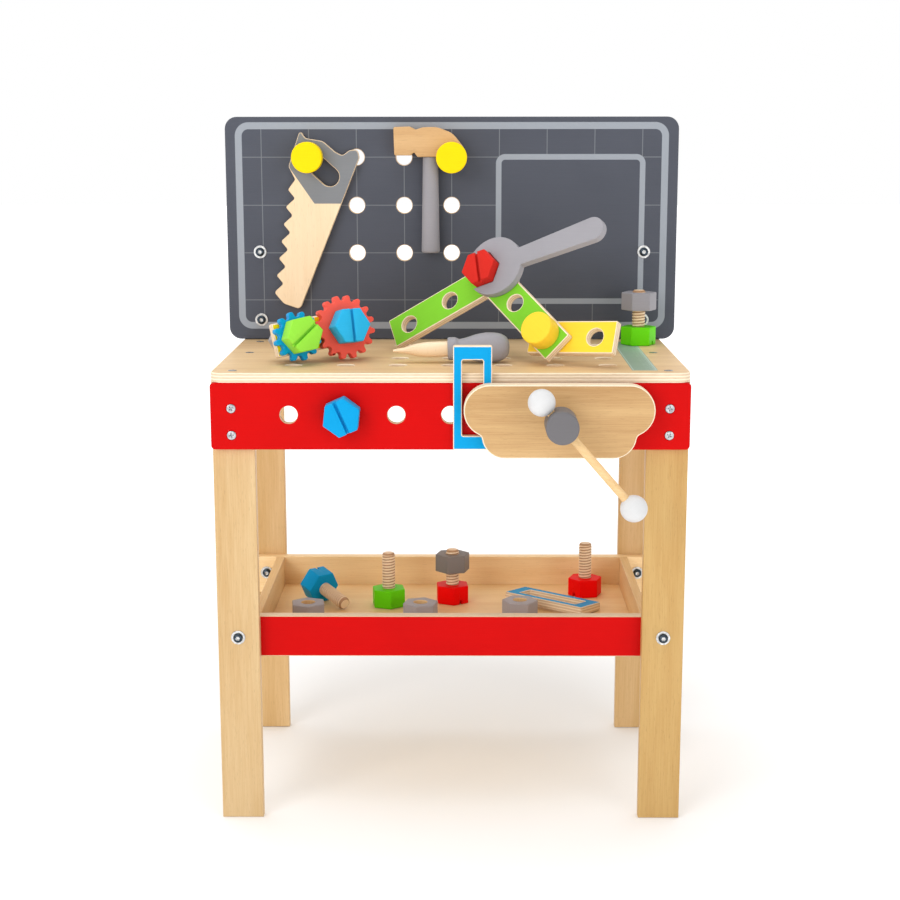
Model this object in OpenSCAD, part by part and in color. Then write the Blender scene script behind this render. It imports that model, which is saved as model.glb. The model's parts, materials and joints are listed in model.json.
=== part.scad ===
// Toy workbench: legs, worktop, tool panel and tray, with a vise, hand tools, wooden bolts, nuts,
// pegs, gears and strips. Millimetres, +Z up, the bench faces -Y. The origin lies on the floor
// under the middle of the whole outline.

/* [Bench] */
// Width across the worktop, the apron and the legs
bench_w = 460; // [440:5:480]
// Height of the legs, which is the underside of the worktop
leg_h = 445; // [430:5:470]
// Width of a leg board
leg_w = 41; // [38:1:44]
// Thickness of the leg boards and of the tray's front and back boards
leg_t = 12; // [11:1:14]
// Thickness of the worktop
top_t = 9.5; // [8:0.5:12]
// Depth of the worktop from its front edge to the rear legs
top_d = 268; // [262:2:276]
// Height of the red front apron
apron_h = 65; // [60:1:70]
// Thickness of the apron
apron_t = 10; // [9:1:12]
// Width of the tool panel
panel_w = 491; // [480:1:500]
// Height of the tool panel
panel_h = 241; // [236:1:246]
// Distance between neighbouring holes in the panel, the apron, the worktop and the strips
pitch = 51.6; // [51:0.1:52]
// Diameter of those holes
hole_d = 17; // [16.5:0.25:18]

/* [Tray] */
// Height of the tray's lower edge above the floor
tray_z = 166; // [150:2:180]
// Height of the tray's boards
tray_h = 41.5; // [38:0.5:46]
// Thickness of the tray's floor
tray_floor_t = 4.5; // [4:0.5:6]

/* [Wooden fasteners] */
// Width across the flats of a bolt head or nut
hex_af = 33; // [32:0.5:35]
// Thickness of a bolt head
head_t = 19.5; // [18.5:0.5:21]
// Thickness of a nut
nut_t = 19; // [18:0.5:20]
// Diameter of a bolt's thread
thread_d = 14; // [13:0.25:14.5]
// Length of a bolt's thread
thread_l = 39; // [38.5:0.5:40]
// Width of the screwdriver slot in a bolt head
slot_w = 3; // [2:0.25:4]
// Depth of the screwdriver slot
slot_d = 4.5; // [3:0.5:6]
// Diameter of a peg's head
peg_head_d = 33; // [32:0.5:35]
// Thickness of a peg's head
peg_head_t = 19; // [17:0.5:20]
// Diameter of a peg's shaft
peg_d = 15.6; // [15:0.1:15.8]
// Length of a peg's shaft
peg_l = 31; // [30:1:32]

/* [Strips and gears] */
// Thickness of the strips, the gears, the saw and the window frames
ply_t = 9; // [8.5:0.25:9]
// Width of a strip
strip_w = 34; // [32:1:34]
// Distance from the end hole of a strip to the strip's end
strip_end = 22; // [19:1:22]
// Number of teeth on the small gear
small_teeth = 12; // [12]
// Number of teeth on the large gear
large_teeth = 16; // [16]

/* [Vise] */
// Distance between the jaw and the apron, which is what the vise grips now
jaw_gap = 9.4; // [9.4:0.2:12]
// Thickness of the jaw
jaw_t = 15; // [14:1:16]
// Diameter of the vise screw
screw_d = 15; // [14:0.5:15.5]
// Diameter of the knob
knob_d = 30.8; // [29:0.2:31]
// Length of the knob
knob_l = 34; // [30:1:34]
// Diameter of the sliding bar
bar_d = 8; // [7:0.5:9]
// Diameter of the balls on the sliding bar
ball_d = 25.6; // [24:0.2:25.6]

/* [Hidden] */
$fn = 64;

// Colours
beech = [0.87, 0.70, 0.47];
ply = [0.90, 0.78, 0.58];
red = [0.85, 0.02, 0.02];
blue = [0.02, 0.55, 0.86];
green = [0.40, 0.80, 0.10];
yellow = [1.0, 0.86, 0.05];
grey = [0.55, 0.54, 0.56];
charcoal = [0.30, 0.31, 0.34];
steel = [0.75, 0.75, 0.77];
white = [0.94, 0.94, 0.94];

// Gaps between pieces that rest on, slide past or turn in each other
rest_gap = 0.2;
turn_gap = 0.1;

// Heights and depths of the bench, with Y = 0 at the apron's front face
top_z = leg_h + top_t;
leg_y = apron_t;
plank_y = apron_t + leg_t;
rear_leg_y = top_d;
rear_y = rear_leg_y + leg_t;
tray_back_y = rear_leg_y - leg_t;
rear_leg_h = leg_h + 135;
floor_z = tray_z + 5 + tray_floor_t;
tray_inner = bench_w / 2 - 40.5;
hole_z = leg_h - 31;
panel_z = top_z + 0.7;
panel_y = rear_leg_y - ply_t;
panel_low_row = 550;
top_first_row = 54.5;
rail_w = 20;

// Screws and machine bolts that hold the bench together
screw_r = 2;
screw_head_r = 4.2;
screw_len = 20;
bolt_r = 2.5;
insert_r = 4;
insert_len = 10;
wood_fit = 0.05;
fastener_x = 210;
apron_screw_z = [leg_h - 25, leg_h - 51];
top_screw_y = [18, 150, 242];
tray_bolt_z = tray_z + 23;
panel_bolt_z = [551, 476.5];

// Wooden fasteners
hex_ac = hex_af / cos(30);
thread_r = thread_d / 2;
peg_r = peg_d / 2;

// Vise
vise_x = 2 * pitch;
jaw_back_y = -jaw_gap;
jaw_front_y = -jaw_gap - jaw_t;
knob_back_y = -42;
knob_front_y = knob_back_y - knob_l;
bar_y = knob_back_y - knob_l / 2;
bar_angle = -49;
bar_short = knob_d / 2 + ball_d / 2 + 0.3;
bar_long = 103.6;
screw_end_y = 60;

// Middle of the outline from the knob to the rear legs
mid_y = (knob_front_y + rear_y) / 2;

// Gears: the pitch radii add up to the hole pitch
gear_module = 2 * pitch / (small_teeth + large_teeth);
small_r = gear_module * small_teeth / 2;
large_r = gear_module * large_teeth / 2;
tooth_r = 2.6;
tooth_gap_r = 3.0;
mesh_arc = -2.7;
gear_t = ply_t - 2 * rest_gap;

// Leaning groups: place of the first hole's front, yaw, lean and roll of the strips
gear_at = [-154, 70.5, 480.4];
gear_yaw = -27;
gear_lean = 12;
gear_roll = 7;
stand_at = [36.5, 130.5, 538.6];
stand_yaw = 33.5;
stand_lean = 25.5;
back_strip_roll = 214;
front_strip_roll = -35.5;
yellow_strip_roll = 4;
spanner_roll = 23.3;

// Window frames
frame_l = 100;
frame_w = 37;
window_l = 73;
window_w = 20;

// Pegs on the panel: head undersides stand off by what hangs behind them
panel_top_row = panel_low_row + 2 * pitch;
saw_peg = [-3 * pitch, panel_top_row];
hammer_peg = [0, panel_top_row];
saw_peg_back_y = panel_y - 12;
hammer_head_t = 20;
hammer_peg_back_y = panel_y - hammer_head_t - 1;

// ---- Helpers ----

// Everything is drawn with Y = 0 at the apron, then moved so that the outline is centred
module bench() {
    translate([0, -mid_y, 0]) children();
}

module board(low, high) {
    translate(low) cube(high - low);
}

// A cylinder along +Y from a point, and one along +Z
module rod_y(at, r, l) {
    translate(at) rotate([-90, 0, 0]) cylinder(h = l, r = r);
}

module rod_z(at, r, l) {
    translate(at) cylinder(h = l, r = r);
}

// A plate drawn in X and Z, standing with its front face at y
module upright(y, t) {
    translate([0, y + t, 0]) rotate([90, 0, 0]) linear_extrude(t) children();
}

// Corners [x, y, radius] of an outline, each rounded by an arc
function unit(v) = v / norm(v);
function flat_point(p) = [p.x, p.y];
function short_way(a) = a > 180 ? a - 360 : a < -180 ? a + 360 : a;
function corner(a, b, c, r) =
    r == 0 ? [b] :
    let (u = unit(a - b), w = unit(c - b), half = acos(u * w) / 2)
    let (mid = b + unit(u + w) * r / sin(half), reach = r / tan(half))
    let (start = b + u * reach - mid, stop = b + w * reach - mid)
    let (from = atan2(start.y, start.x), turn = short_way(atan2(stop.y, stop.x) - from))
    let (steps = max(2, ceil(abs(turn) / 12)))
    [for (i = [0:steps]) mid + r * [cos(from + turn * i / steps), sin(from + turn * i / steps)]];
function rounded(p) = [
    for (i = [0:len(p) - 1])
        let (before = p[(i + len(p) - 1) % len(p)], after = p[(i + 1) % len(p)])
        each corner(flat_point(before), flat_point(p[i]), flat_point(after), p[i].z)
];
function arc(center, r, from, to) =
    let (steps = max(2, ceil(abs(to - from) / 10)))
    [for (i = [0:steps]) center + r * [cos(from + (to - from) * i / steps), sin(from + (to - from) * i / steps)]];
function rect(w, l, r) = rounded([[-w / 2, -l / 2, r], [w / 2, -l / 2, r], [w / 2, l / 2, r], [-w / 2, l / 2, r]]);

// Local frames of the leaning groups: X along the front face, Y up it, Z out of it
module gear_frame() {
    translate(gear_at) rotate([90 - gear_lean, 0, -gear_yaw]) children();
}

module stand_frame() {
    translate(stand_at) rotate([90 - stand_lean, 0, -stand_yaw]) children();
}

// ---- Wooden fasteners ----

// Hex bolt with its axis on Z, head from 0 up and thread from 0 down; a corner points along turn
module hex_bolt(paint, turn = 0) {
    color(paint) difference() {
        union() {
            rotate([0, 0, turn]) cylinder(h = head_t, d = hex_ac, $fn = 6);
            translate([0, 0, -thread_l]) cylinder(h = thread_l + 1, r = thread_r);
        }
        rotate([0, 0, turn + 90])
            translate([-hex_ac, -slot_w / 2, head_t - slot_d]) cube([2 * hex_ac, slot_w, slot_d + 1]);
    }
}

// Hex nut from 0 down
module hex_nut(turn = 0) {
    color(grey) translate([0, 0, -nut_t]) difference() {
        rotate([0, 0, turn]) cylinder(h = nut_t, d = hex_ac, $fn = 6);
        translate([0, 0, -1]) cylinder(h = nut_t + 2, r = thread_r + turn_gap);
    }
}

// Round-headed peg with its axis on Z, head from 0 up and shaft from 0 down
module peg() {
    color(yellow) cylinder(h = peg_head_t, d = peg_head_d);
    color(yellow) translate([0, 0, -peg_l]) cylinder(h = peg_l + 1, r = peg_r);
}

// Bolts and nuts that stand or lie along a world axis
module standing_bolt(at, paint, turn) {
    translate([at.x, at.y, at.z + head_t]) rotate([180, 0, 0]) hex_bolt(paint, turn);
}

module standing_nut(at, turn) {
    translate([at.x, at.y, at.z + nut_t]) hex_nut(turn);
}

// ---- Bench ----

module shank_hole(x, z, y, l) {
    rod_y([x, y - 1, z], bolt_r + wood_fit, l + 2);
}

module front_leg(side) {
    color(beech) bench() difference() {
        board([min(side * bench_w / 2, side * (bench_w / 2 - leg_w)), leg_y, 0],
              [max(side * bench_w / 2, side * (bench_w / 2 - leg_w)), leg_y + leg_t, leg_h]);
        for (z = apron_screw_z) rod_y([side * fastener_x, leg_y - 1, z], screw_r + wood_fit, leg_t + 2);
        rod_z([side * fastener_x, top_screw_y[0], leg_h - screw_len], screw_r + wood_fit, screw_len + 1);
        shank_hole(side * fastener_x, tray_bolt_z, leg_y, leg_t);
    }
}

module back_leg(side) {
    color(beech) bench() difference() {
        board([min(side * bench_w / 2, side * (bench_w / 2 - leg_w)), rear_leg_y, 0],
              [max(side * bench_w / 2, side * (bench_w / 2 - leg_w)), rear_y, rear_leg_h]);
        for (z = concat(panel_bolt_z, [tray_bolt_z]))
            rod_y([side * fastener_x, rear_leg_y - 1, z], insert_r + wood_fit, insert_len + 1);
    }
}

module leg_front_left() { front_leg(-1); }
module leg_front_right() { front_leg(1); }
module leg_back_left() { back_leg(-1); }
module leg_back_right() { back_leg(1); }

module worktop() {
    color(ply) bench() difference() {
        translate([0, 0, leg_h]) linear_extrude(top_t) polygon(rounded([
            [-bench_w / 2, 0, 12], [bench_w / 2, 0, 12], [bench_w / 2, top_d, 0], [-bench_w / 2, top_d, 0]
        ]));
        for (column = [-3:3], row = [0:3])
            rod_z([column * pitch, top_first_row + row * pitch, leg_h - 1], hole_d / 2, top_t + 2);
        for (side = [-1, 1], y = top_screw_y) top_screw([side * fastener_x, y], wood_fit);
    }
}

// Countersunk screws through the worktop and the apron; grow makes the same shape as a hole
module top_screw(at, grow = 0) {
    rod_z([at.x, at.y, top_z - screw_len - grow], screw_r + grow, screw_len + grow);
    translate([at.x, at.y, top_z - 3])
        cylinder(h = 3 + grow, r1 = screw_r + grow, r2 = screw_head_r + grow);
}

module apron_screw(at, grow = 0) {
    rod_y([at.x, 0, at.y], screw_r + grow, screw_len + grow);
    translate([at.x, -grow, at.y]) rotate([-90, 0, 0])
        cylinder(h = 3 + grow, r1 = screw_head_r + grow, r2 = screw_r + grow);
}

module front_apron() {
    color(red) bench() difference() {
        upright(0, apron_t) translate([0, leg_h - apron_h / 2]) polygon(rect(bench_w, apron_h, 4));
        for (column = [-3:3]) rod_y([column * pitch, -1, hole_z], hole_d / 2, apron_t + 2);
        for (side = [-1, 1], z = apron_screw_z) apron_screw([side * fastener_x, z], wood_fit);
    }
}

module back_rail() {
    color(beech) bench() board([-bench_w / 2, tray_back_y, leg_h - 45], [bench_w / 2, rear_leg_y, leg_h]);
}

module side_rail(side) {
    color(beech) bench() difference() {
        board([side * fastener_x - rail_w / 2, plank_y, leg_h - rail_w],
              [side * fastener_x + rail_w / 2, tray_back_y, leg_h]);
        for (y = [top_screw_y[1], top_screw_y[2]])
            rod_z([side * fastener_x, y, leg_h - screw_len], screw_r + wood_fit, screw_len + 1);
    }
}

module side_rail_left() { side_rail(-1); }
module side_rail_right() { side_rail(1); }

module tray_front() {
    color(red) bench() difference() {
        board([-bench_w / 2, plank_y, tray_z], [bench_w / 2, plank_y + leg_t, tray_z + tray_h]);
        for (side = [-1, 1])
            rod_y([side * fastener_x, plank_y - 1, tray_bolt_z], insert_r + wood_fit, insert_len + 1);
    }
}

module tray_back() {
    color(beech) bench() difference() {
        board([-bench_w / 2, tray_back_y, tray_z], [bench_w / 2, rear_leg_y, tray_z + tray_h]);
        for (side = [-1, 1]) shank_hole(side * fastener_x, tray_bolt_z, tray_back_y, leg_t);
    }
}

module tray_side(side) {
    color(beech) bench()
        board([min(side * tray_inner, side * (tray_inner + ply_t)), plank_y + leg_t, tray_z],
              [max(side * tray_inner, side * (tray_inner + ply_t)), tray_back_y, tray_z + tray_h]);
}

module tray_side_left() { tray_side(-1); }
module tray_side_right() { tray_side(1); }

module tray_floor() {
    color(ply) bench()
        board([-tray_inner, plank_y + leg_t, floor_z - tray_floor_t], [tray_inner, tray_back_y, floor_z]);
}

module back_panel() {
    color(charcoal) bench() difference() {
        upright(panel_y, ply_t) translate([0, panel_z + panel_h / 2]) polygon(rect(panel_w, panel_h, 13));
        for (column = [-3:0], row = [0:2])
            rod_y([column * pitch, panel_y - 1, panel_low_row + row * pitch], hole_d / 2, ply_t + 2);
        for (side = [-1, 1], z = panel_bolt_z) shank_hole(side * fastener_x, z, panel_y, ply_t);
    }
}

module cross_recess() {
    for (turn = [0, 90]) rotate([0, 0, turn]) translate([-2.4, -0.45, -1.4]) cube([4.8, 0.9, 3]);
}

module wood_screws() {
    color(steel) bench() {
        for (side = [-1, 1], y = top_screw_y) difference() {
            top_screw([side * fastener_x, y]);
            translate([side * fastener_x, y, top_z]) cross_recess();
        }
        for (side = [-1, 1], z = apron_screw_z) difference() {
            apron_screw([side * fastener_x, z]);
            translate([side * fastener_x, 0, z]) rotate([90, 0, 0]) cross_recess();
        }
    }
}

// Places of the socket bolts: X, Z, the face under the washer, and the thickness of the front board
function bolt_places() = [
    for (side = [-1, 1]) each concat(
        [[side * fastener_x, tray_bolt_z, leg_y, leg_t], [side * fastener_x, tray_bolt_z, tray_back_y, leg_t]],
        [for (z = panel_bolt_z) [side * fastener_x, z, panel_y, ply_t]])
];
bolt_head_r = 4.8;
bolt_head_l = 3.5;
washer_r = 7;
washer_t = 1;

module frame_bolts() {
    color(steel) bench() for (p = bolt_places()) difference() {
        union() {
            rod_y([p.x, p.z - washer_t, p.y], bolt_r, washer_t + p[3] + insert_len - 2);
            rod_y([p.x, p.z - washer_t - bolt_head_l, p.y], bolt_head_r, bolt_head_l);
        }
        translate([p.x, p.z - washer_t - bolt_head_l - 1, p.y]) rotate([-90, 0, 0]) cylinder(h = 3, r = 1.9, $fn = 6);
    }
}

module frame_washers() {
    color(steel) bench() for (p = bolt_places()) difference() {
        rod_y([p.x, p.z - washer_t, p.y], washer_r, washer_t);
        rod_y([p.x, p.z - 2, p.y], bolt_r + wood_fit, 3);
    }
}

module insert_nuts() {
    color(steel) bench() for (p = bolt_places()) difference() {
        rod_y([p.x, p.z + p[3], p.y], insert_r, insert_len);
        rod_y([p.x, p.z + p[3] - 1, p.y], bolt_r + wood_fit, insert_len + 2);
    }
}

// ---- Vise ----

module vise_nut_block() {
    color(beech) bench() difference() {
        board([vise_x - 25, apron_t, hole_z - 25], [vise_x + 25, apron_t + 16, hole_z + 25]);
        rod_y([vise_x, apron_t - 1, hole_z], screw_d / 2 + turn_gap, 18);
    }
}

// Left half of the jaw's outline: two round corners with a small hollow between them
function jaw_left() =
    let (upper = [-65.4, 421.7], upper_r = 25, lower = [-51.2, 398], lower_r = 22, hollow_r = 6)
    let (far = norm(lower - upper), a = upper_r + hollow_r, b = lower_r + hollow_r)
    let (along = (a * a - b * b + far * far) / (2 * far), dir = unit(lower - upper))
    let (hollow = upper + dir * along + [dir.y, -dir.x] * sqrt(a * a - along * along))
    let (meet_1 = hollow - upper, meet_2 = lower - hollow)
    let (stop = 180 + atan(meet_1.y / meet_1.x), join = atan2(meet_2.y, meet_2.x))
    concat(arc(upper, upper_r, 90, stop), arc(hollow, hollow_r, stop - 180, join),
           arc(lower, lower_r, join + 180, 270));

module vise_jaw() {
    left = jaw_left();
    right = [for (i = [len(left) - 1:-1:0]) [-left[i].x, left[i].y]];
    color(ply) bench() difference() {
        upright(jaw_front_y, jaw_t) translate([vise_x, 0]) polygon(concat(left, right));
        rod_y([vise_x, jaw_front_y - 1, hole_z], screw_d / 2 + turn_gap, jaw_t + 2);
        for (side = [-1, 1]) rod_y([vise_x + side * pitch, jaw_back_y - 10, hole_z], 7.85, 11);
    }
}

module vise_guides() {
    color(beech) bench()
        for (side = [-1, 1]) rod_y([vise_x + side * pitch, jaw_back_y - 10, hole_z], 7.8, 10 + jaw_gap + 48);
}

module vise_screw() {
    color(beech) bench() rod_y([vise_x, knob_back_y, hole_z], screw_d / 2, screw_end_y - knob_back_y);
}

module vise_knob() {
    color(grey) bench() difference() {
        translate([vise_x, knob_back_y, hole_z]) rotate([90, 0, 0]) rotate_extrude() polygon(rounded([
            [0, 0, 0], [knob_d / 2, 0, 3], [knob_d / 2, knob_l, 3], [0, knob_l, 0]
        ]));
        translate([vise_x, bar_y, hole_z]) rotate([0, 90 - bar_angle, 0])
            cylinder(h = 2 * knob_d, r = bar_d / 2 + turn_gap, center = true);
    }
}

// Frame of the sliding bar: Z runs along the bar towards its far ball
module bar_frame() {
    bench() translate([vise_x, bar_y, hole_z]) rotate([0, 90 - bar_angle, 0]) children();
}

module tommy_bar() {
    color(beech) bar_frame() translate([0, 0, -bar_short]) cylinder(h = bar_short + bar_long, r = bar_d / 2);
}

module bar_balls() {
    color(white) bar_frame() {
        difference() {
            translate([0, 0, -bar_short]) sphere(d = ball_d);
            translate([0, 0, -bar_short]) cylinder(h = ball_d, r = bar_d / 2 + wood_fit);
        }
        difference() {
            translate([0, 0, bar_long]) sphere(d = ball_d);
            translate([0, 0, bar_long - ball_d]) cylinder(h = ball_d, r = bar_d / 2 + wood_fit);
        }
    }
}

// Flat frame with a window, centred on the origin
module window_frame() {
    difference() {
        linear_extrude(ply_t) polygon(rect(frame_w, frame_l, 1.5));
        translate([0, 0, -1]) linear_extrude(ply_t + 2) polygon(rect(window_w, window_l, 1.5));
    }
}

module clamped_frame() {
    color(blue) bench() translate([21.3, jaw_back_y + rest_gap + ply_t, 431.7]) rotate([90, 0, 0]) window_frame();
}

// ---- Tools on the panel ----

module saw() {
    low_tooth = [-194.6, 507.6];
    high_tooth = [-177.4, 618.6];
    teeth = 6;
    inward = 9;
    teeth_points = [
        for (i = [1:2 * teeth - 1])
            let (on_line = low_tooth + (high_tooth - low_tooth) * i / (2 * teeth))
            i % 2 == 1 ? [on_line.x + inward, on_line.y, 2.5] : [on_line.x, on_line.y, 2.5]
    ];
    outline = concat([
        [-163.4, 682, 2], [-158, 673.5, 5], [-139, 670.3, 12], [-126, 659, 9], [-118, 654.8, 5],
        [-110.5, 660.5, 5], [-101.6, 661.3, 4], [-99.6, 652.5, 5], [-166.2, 489, 4.5],
        [-184, 495, 8], [low_tooth.x, low_tooth.y, 3.5]
    ], teeth_points, [[high_tooth.x, high_tooth.y, 2.5], [-169.3, 629.5, 2.5], [-176.3, 643.5, 6]]);
    slot_r = 10.4;
    slot_top = [saw_peg.x + 1.7, saw_peg.y - 1.5];
    slot_low = [-131.8, 632.5];
    slot_run = slot_low - slot_top;
    slot_turn = atan2(slot_run.y, slot_run.x);
    slot = concat(arc(slot_low, slot_r, slot_turn - 90, slot_turn + 90),
                  arc(slot_top, slot_r, slot_turn + 90, slot_turn + 270));
    color(ply) bench() upright(panel_y - ply_t - rest_gap, ply_t) difference() {
        polygon(rounded(outline));
        polygon(slot);
    }
}

hammer_x = -22.8;

module hammer_head() {
    hook_r = peg_r + 0.8;
    hook_z = hammer_peg.y - 0.5;
    color(beech) bench() difference() {
        upright(panel_y - hammer_head_t - rest_gap, hammer_head_t) polygon(rounded([
            [-62.3, 685.2, 2], [-45, 685.8, 4], [-38.5, 682.4, 3], [-31.5, 684.8, 6], [-16, 685.5, 25],
            [1.4, 678.6, 20], [13.6, 663, 14], [16.8, 648.5, 3], [10.5, 646.5, 1], [8, 653.6, 0],
            [-36.5, 653.6, 1], [-40.3, 658.6, 1], [-43.5, 655.2, 1], [-61.5, 655.2, 2]
        ]));
        rod_y([hammer_peg.x, panel_y - hammer_head_t - 2, hook_z], hook_r, hammer_head_t + 3);
        board([hammer_peg.x - hook_r, panel_y - hammer_head_t - 2, hook_z - 20],
              [hammer_peg.x + hook_r, panel_y + 1, hook_z]);
        rod_z([hammer_x, panel_y - hammer_head_t / 2 - rest_gap, 652], 6 + wood_fit, 17);
    }
}

module hammer_handle() {
    low_z = 551;
    color(grey) bench() translate([hammer_x, panel_y - hammer_head_t / 2 - rest_gap, low_z]) {
        rotate_extrude() polygon(rounded([
            [0, 0, 0], [9.9, 0, 2.5], [8.2, 102.5, 0], [6, 102.5, 0], [6, 117, 0], [0, 117, 0]
        ]));
    }
}

module panel_peg_left() {
    bench() translate([saw_peg.x, saw_peg_back_y, saw_peg.y]) rotate([90, 0, 0]) peg();
}

module panel_peg_right() {
    bench() translate([hammer_peg.x, hammer_peg_back_y, hammer_peg.y]) rotate([90, 0, 0]) peg();
}

// ---- Gear set on a strip ----

// Strip from its first hole at the origin, along +X, front face at 0
module strip(holes) {
    difference() {
        translate([(holes - 1) * pitch / 2, 0, -ply_t]) linear_extrude(ply_t)
            polygon(rect((holes - 1) * pitch + 2 * strip_end, strip_w, 2));
        for (i = [0:holes - 1]) translate([i * pitch, 0, -ply_t - 1]) cylinder(h = ply_t + 2, d = hole_d);
    }
}

// Gear with round teeth; a tooth points along +X
module gear(teeth, r) {
    difference() {
        union() {
            difference() {
                cylinder(h = gear_t, r = r);
                for (i = [0:teeth - 1]) rotate([0, 0, (i + 0.5) * 360 / teeth]) translate([r, 0, -1])
                    cylinder(h = gear_t + 2, r = tooth_gap_r);
            }
            for (i = [0:teeth - 1]) rotate([0, 0, i * 360 / teeth]) translate([r, 0, 0])
                cylinder(h = gear_t, r = tooth_r);
        }
        translate([0, 0, -1]) cylinder(h = gear_t + 2, d = hole_d);
    }
}

module gear_strip() {
    color(yellow) bench() gear_frame() rotate([0, 0, gear_roll]) strip(2);
}

module gear_blue() {
    color(blue) bench() gear_frame() rotate([0, 0, gear_roll]) translate([0, 0, rest_gap])
        rotate([0, 0, -asin(mesh_arc / small_r)]) gear(small_teeth, small_r);
}

module gear_red() {
    color(red) bench() gear_frame() rotate([0, 0, gear_roll]) translate([pitch, 0, rest_gap])
        rotate([0, 0, 180 + asin(mesh_arc / large_r) + 180 / large_teeth]) gear(large_teeth, large_r);
}

module gear_bolt_green() {
    bench() gear_frame() translate([0, 0, ply_t]) hex_bolt(green, -51);
}

module gear_bolt_blue() {
    bench() gear_frame() rotate([0, 0, gear_roll]) translate([pitch, 0, ply_t]) hex_bolt(blue, -6);
}

module gear_nuts() {
    bench() gear_frame() rotate([0, 0, gear_roll]) for (i = [0, 1])
        translate([i * pitch, 0, -ply_t]) hex_nut(-gear_roll);
}

// ---- Strips, spanner and pegged joint ----

module green_strip_front() {
    color(green) bench() stand_frame() rotate([0, 0, front_strip_roll]) strip(3);
}

module green_strip_back() {
    color(green) bench() stand_frame() translate([0, 0, -ply_t - rest_gap])
        rotate([0, 0, back_strip_roll]) strip(3);
}

module yellow_strip() {
    color(yellow) bench() stand_frame() rotate([0, 0, front_strip_roll])
        translate([2 * pitch, 0, -ply_t - rest_gap])
            rotate([0, 0, yellow_strip_roll - front_strip_roll]) strip(2);
}

module strip_peg() {
    bench() stand_frame() rotate([0, 0, front_strip_roll]) translate([2 * pitch, 0, 0]) peg();
}

module strip_bolt_red() {
    bench() stand_frame() hex_bolt(red, spanner_roll);
}

module strip_nut() {
    bench() stand_frame() translate([0, 0, -2 * ply_t - 2 * rest_gap]) hex_nut(spanner_roll);
}

// Open-ended spanner lying on the front strip, its jaw round the red bolt's head
module spanner() {
    head_r = 31.2;
    head_x = 13;
    handle_l = 111;
    end_r = 12.4;
    neck_half = 9.6;
    jaw_half = hex_af / 2 + 0.4;
    jaw_ac = 2 * jaw_half / cos(30);
    neck_x = head_x + 28;
    end_x = head_x + handle_l;
    color(grey) bench() stand_frame() rotate([0, 0, spanner_roll]) translate([0, 0, rest_gap]) difference() {
        union() {
            translate([head_x, 0, 0]) cylinder(h = ply_t, r = head_r);
            linear_extrude(ply_t) polygon(rounded([
                [head_x, head_r - 2, 0], [neck_x, neck_half, 14], [end_x, end_r, 0],
                [end_x, -end_r, 0], [neck_x, -neck_half, 14], [head_x, 2 - head_r, 0]
            ]));
            translate([end_x, 0, 0]) cylinder(h = ply_t, r = end_r);
        }
        translate([0, 0, -1]) linear_extrude(ply_t + 2) polygon(rounded([
            [-40, -jaw_half, 0], [jaw_ac / 4, -jaw_half, 1], [jaw_ac / 2, 0, 1],
            [jaw_ac / 4, jaw_half, 1], [-40, jaw_half, 0]
        ]));
    }
}

// ---- Screwdriver ----

// Local frame: X along the tool towards the end of its handle, resting on the bulge
module screwdriver_frame() {
    translate([-3, 72, top_z + 13.9]) rotate([0, -2, 0]) children();
}

module turned_x() {
    rotate([0, 90, 0]) rotate_extrude() children();
}

module screwdriver_handle() {
    color(grey) bench() screwdriver_frame() turned_x() polygon(rounded([
        [0, 0, 0], [11.4, 0, 2], [11.4, 8.5, 3], [9.3, 13, 4], [15, 34, 14], [14.2, 55, 11], [0, 61.5, 0]
    ]));
}

module screwdriver_shaft() {
    color(ply) bench() screwdriver_frame() turned_x() polygon([
        [0, -54], [1.8, -54], [4.2, -38], [6.2, -18], [7.2, 0], [0, 0]
    ]);
}

// ---- Loose fasteners on the worktop, the apron and in the tray ----

worktop_bolt_at = [201.4, 217, top_z + rest_gap];
nut_drop = 2.2;

module worktop_bolt() {
    bench() standing_bolt(worktop_bolt_at, green, -62);
}

module worktop_nut() {
    bench() standing_nut([worktop_bolt_at.x, worktop_bolt_at.y,
        worktop_bolt_at.z + head_t + thread_l - nut_t - nut_drop], 2);
}

module apron_bolt() {
    bench() translate([-2 * pitch, -rest_gap, hole_z]) rotate([90, 0, 0]) hex_bolt(blue, 24);
}

module apron_nut() {
    bench() translate([-2 * pitch, apron_t + rest_gap, hole_z]) rotate([90, 0, 0]) hex_nut(24);
}

red_left_at = [1, 186, floor_z + rest_gap];

// The lying bolt touches the floor with a flat of its head and the end of its thread
lie_tilt = atan((hex_af / 2 - thread_r) / thread_l);
lie_yaw = -50;

module tray_bolt_blue() {
    bench() translate([-138.5, 179.5, floor_z + rest_gap + hex_af / 2 * cos(lie_tilt)])
        rotate([0, 0, lie_yaw]) rotate([0, -90 + lie_tilt, 0]) hex_bolt(blue, 90);
}

module tray_bolt_green() {
    bench() standing_bolt([-67.9, 171, floor_z + rest_gap], green, 81);
}

module tray_bolt_red_left() {
    bench() standing_bolt(red_left_at, red, -35);
}

module tray_bolt_nut() {
    bench() standing_nut([red_left_at.x, red_left_at.y,
        red_left_at.z + head_t + thread_l - nut_t - 4.5], 14);
}

module tray_bolt_red_right() {
    bench() standing_bolt([147.6, 214.5, floor_z + rest_gap], red, 50);
}

module loose_nut_left() {
    bench() standing_nut([-150.3, 116, floor_z + rest_gap], -23);
}

module loose_nut_middle() {
    bench() standing_nut([-32.3, 117, floor_z + rest_gap], 17);
}

module loose_nut_right() {
    bench() standing_nut([72.6, 126, floor_z + rest_gap], -5);
}

module tray_frame() {
    color(ply) bench() translate([109, 167.5, floor_z + rest_gap + 1.2]) rotate([0, 0, -38 - 90])
        rotate([0, -3.5, 0]) window_frame();
}

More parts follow.
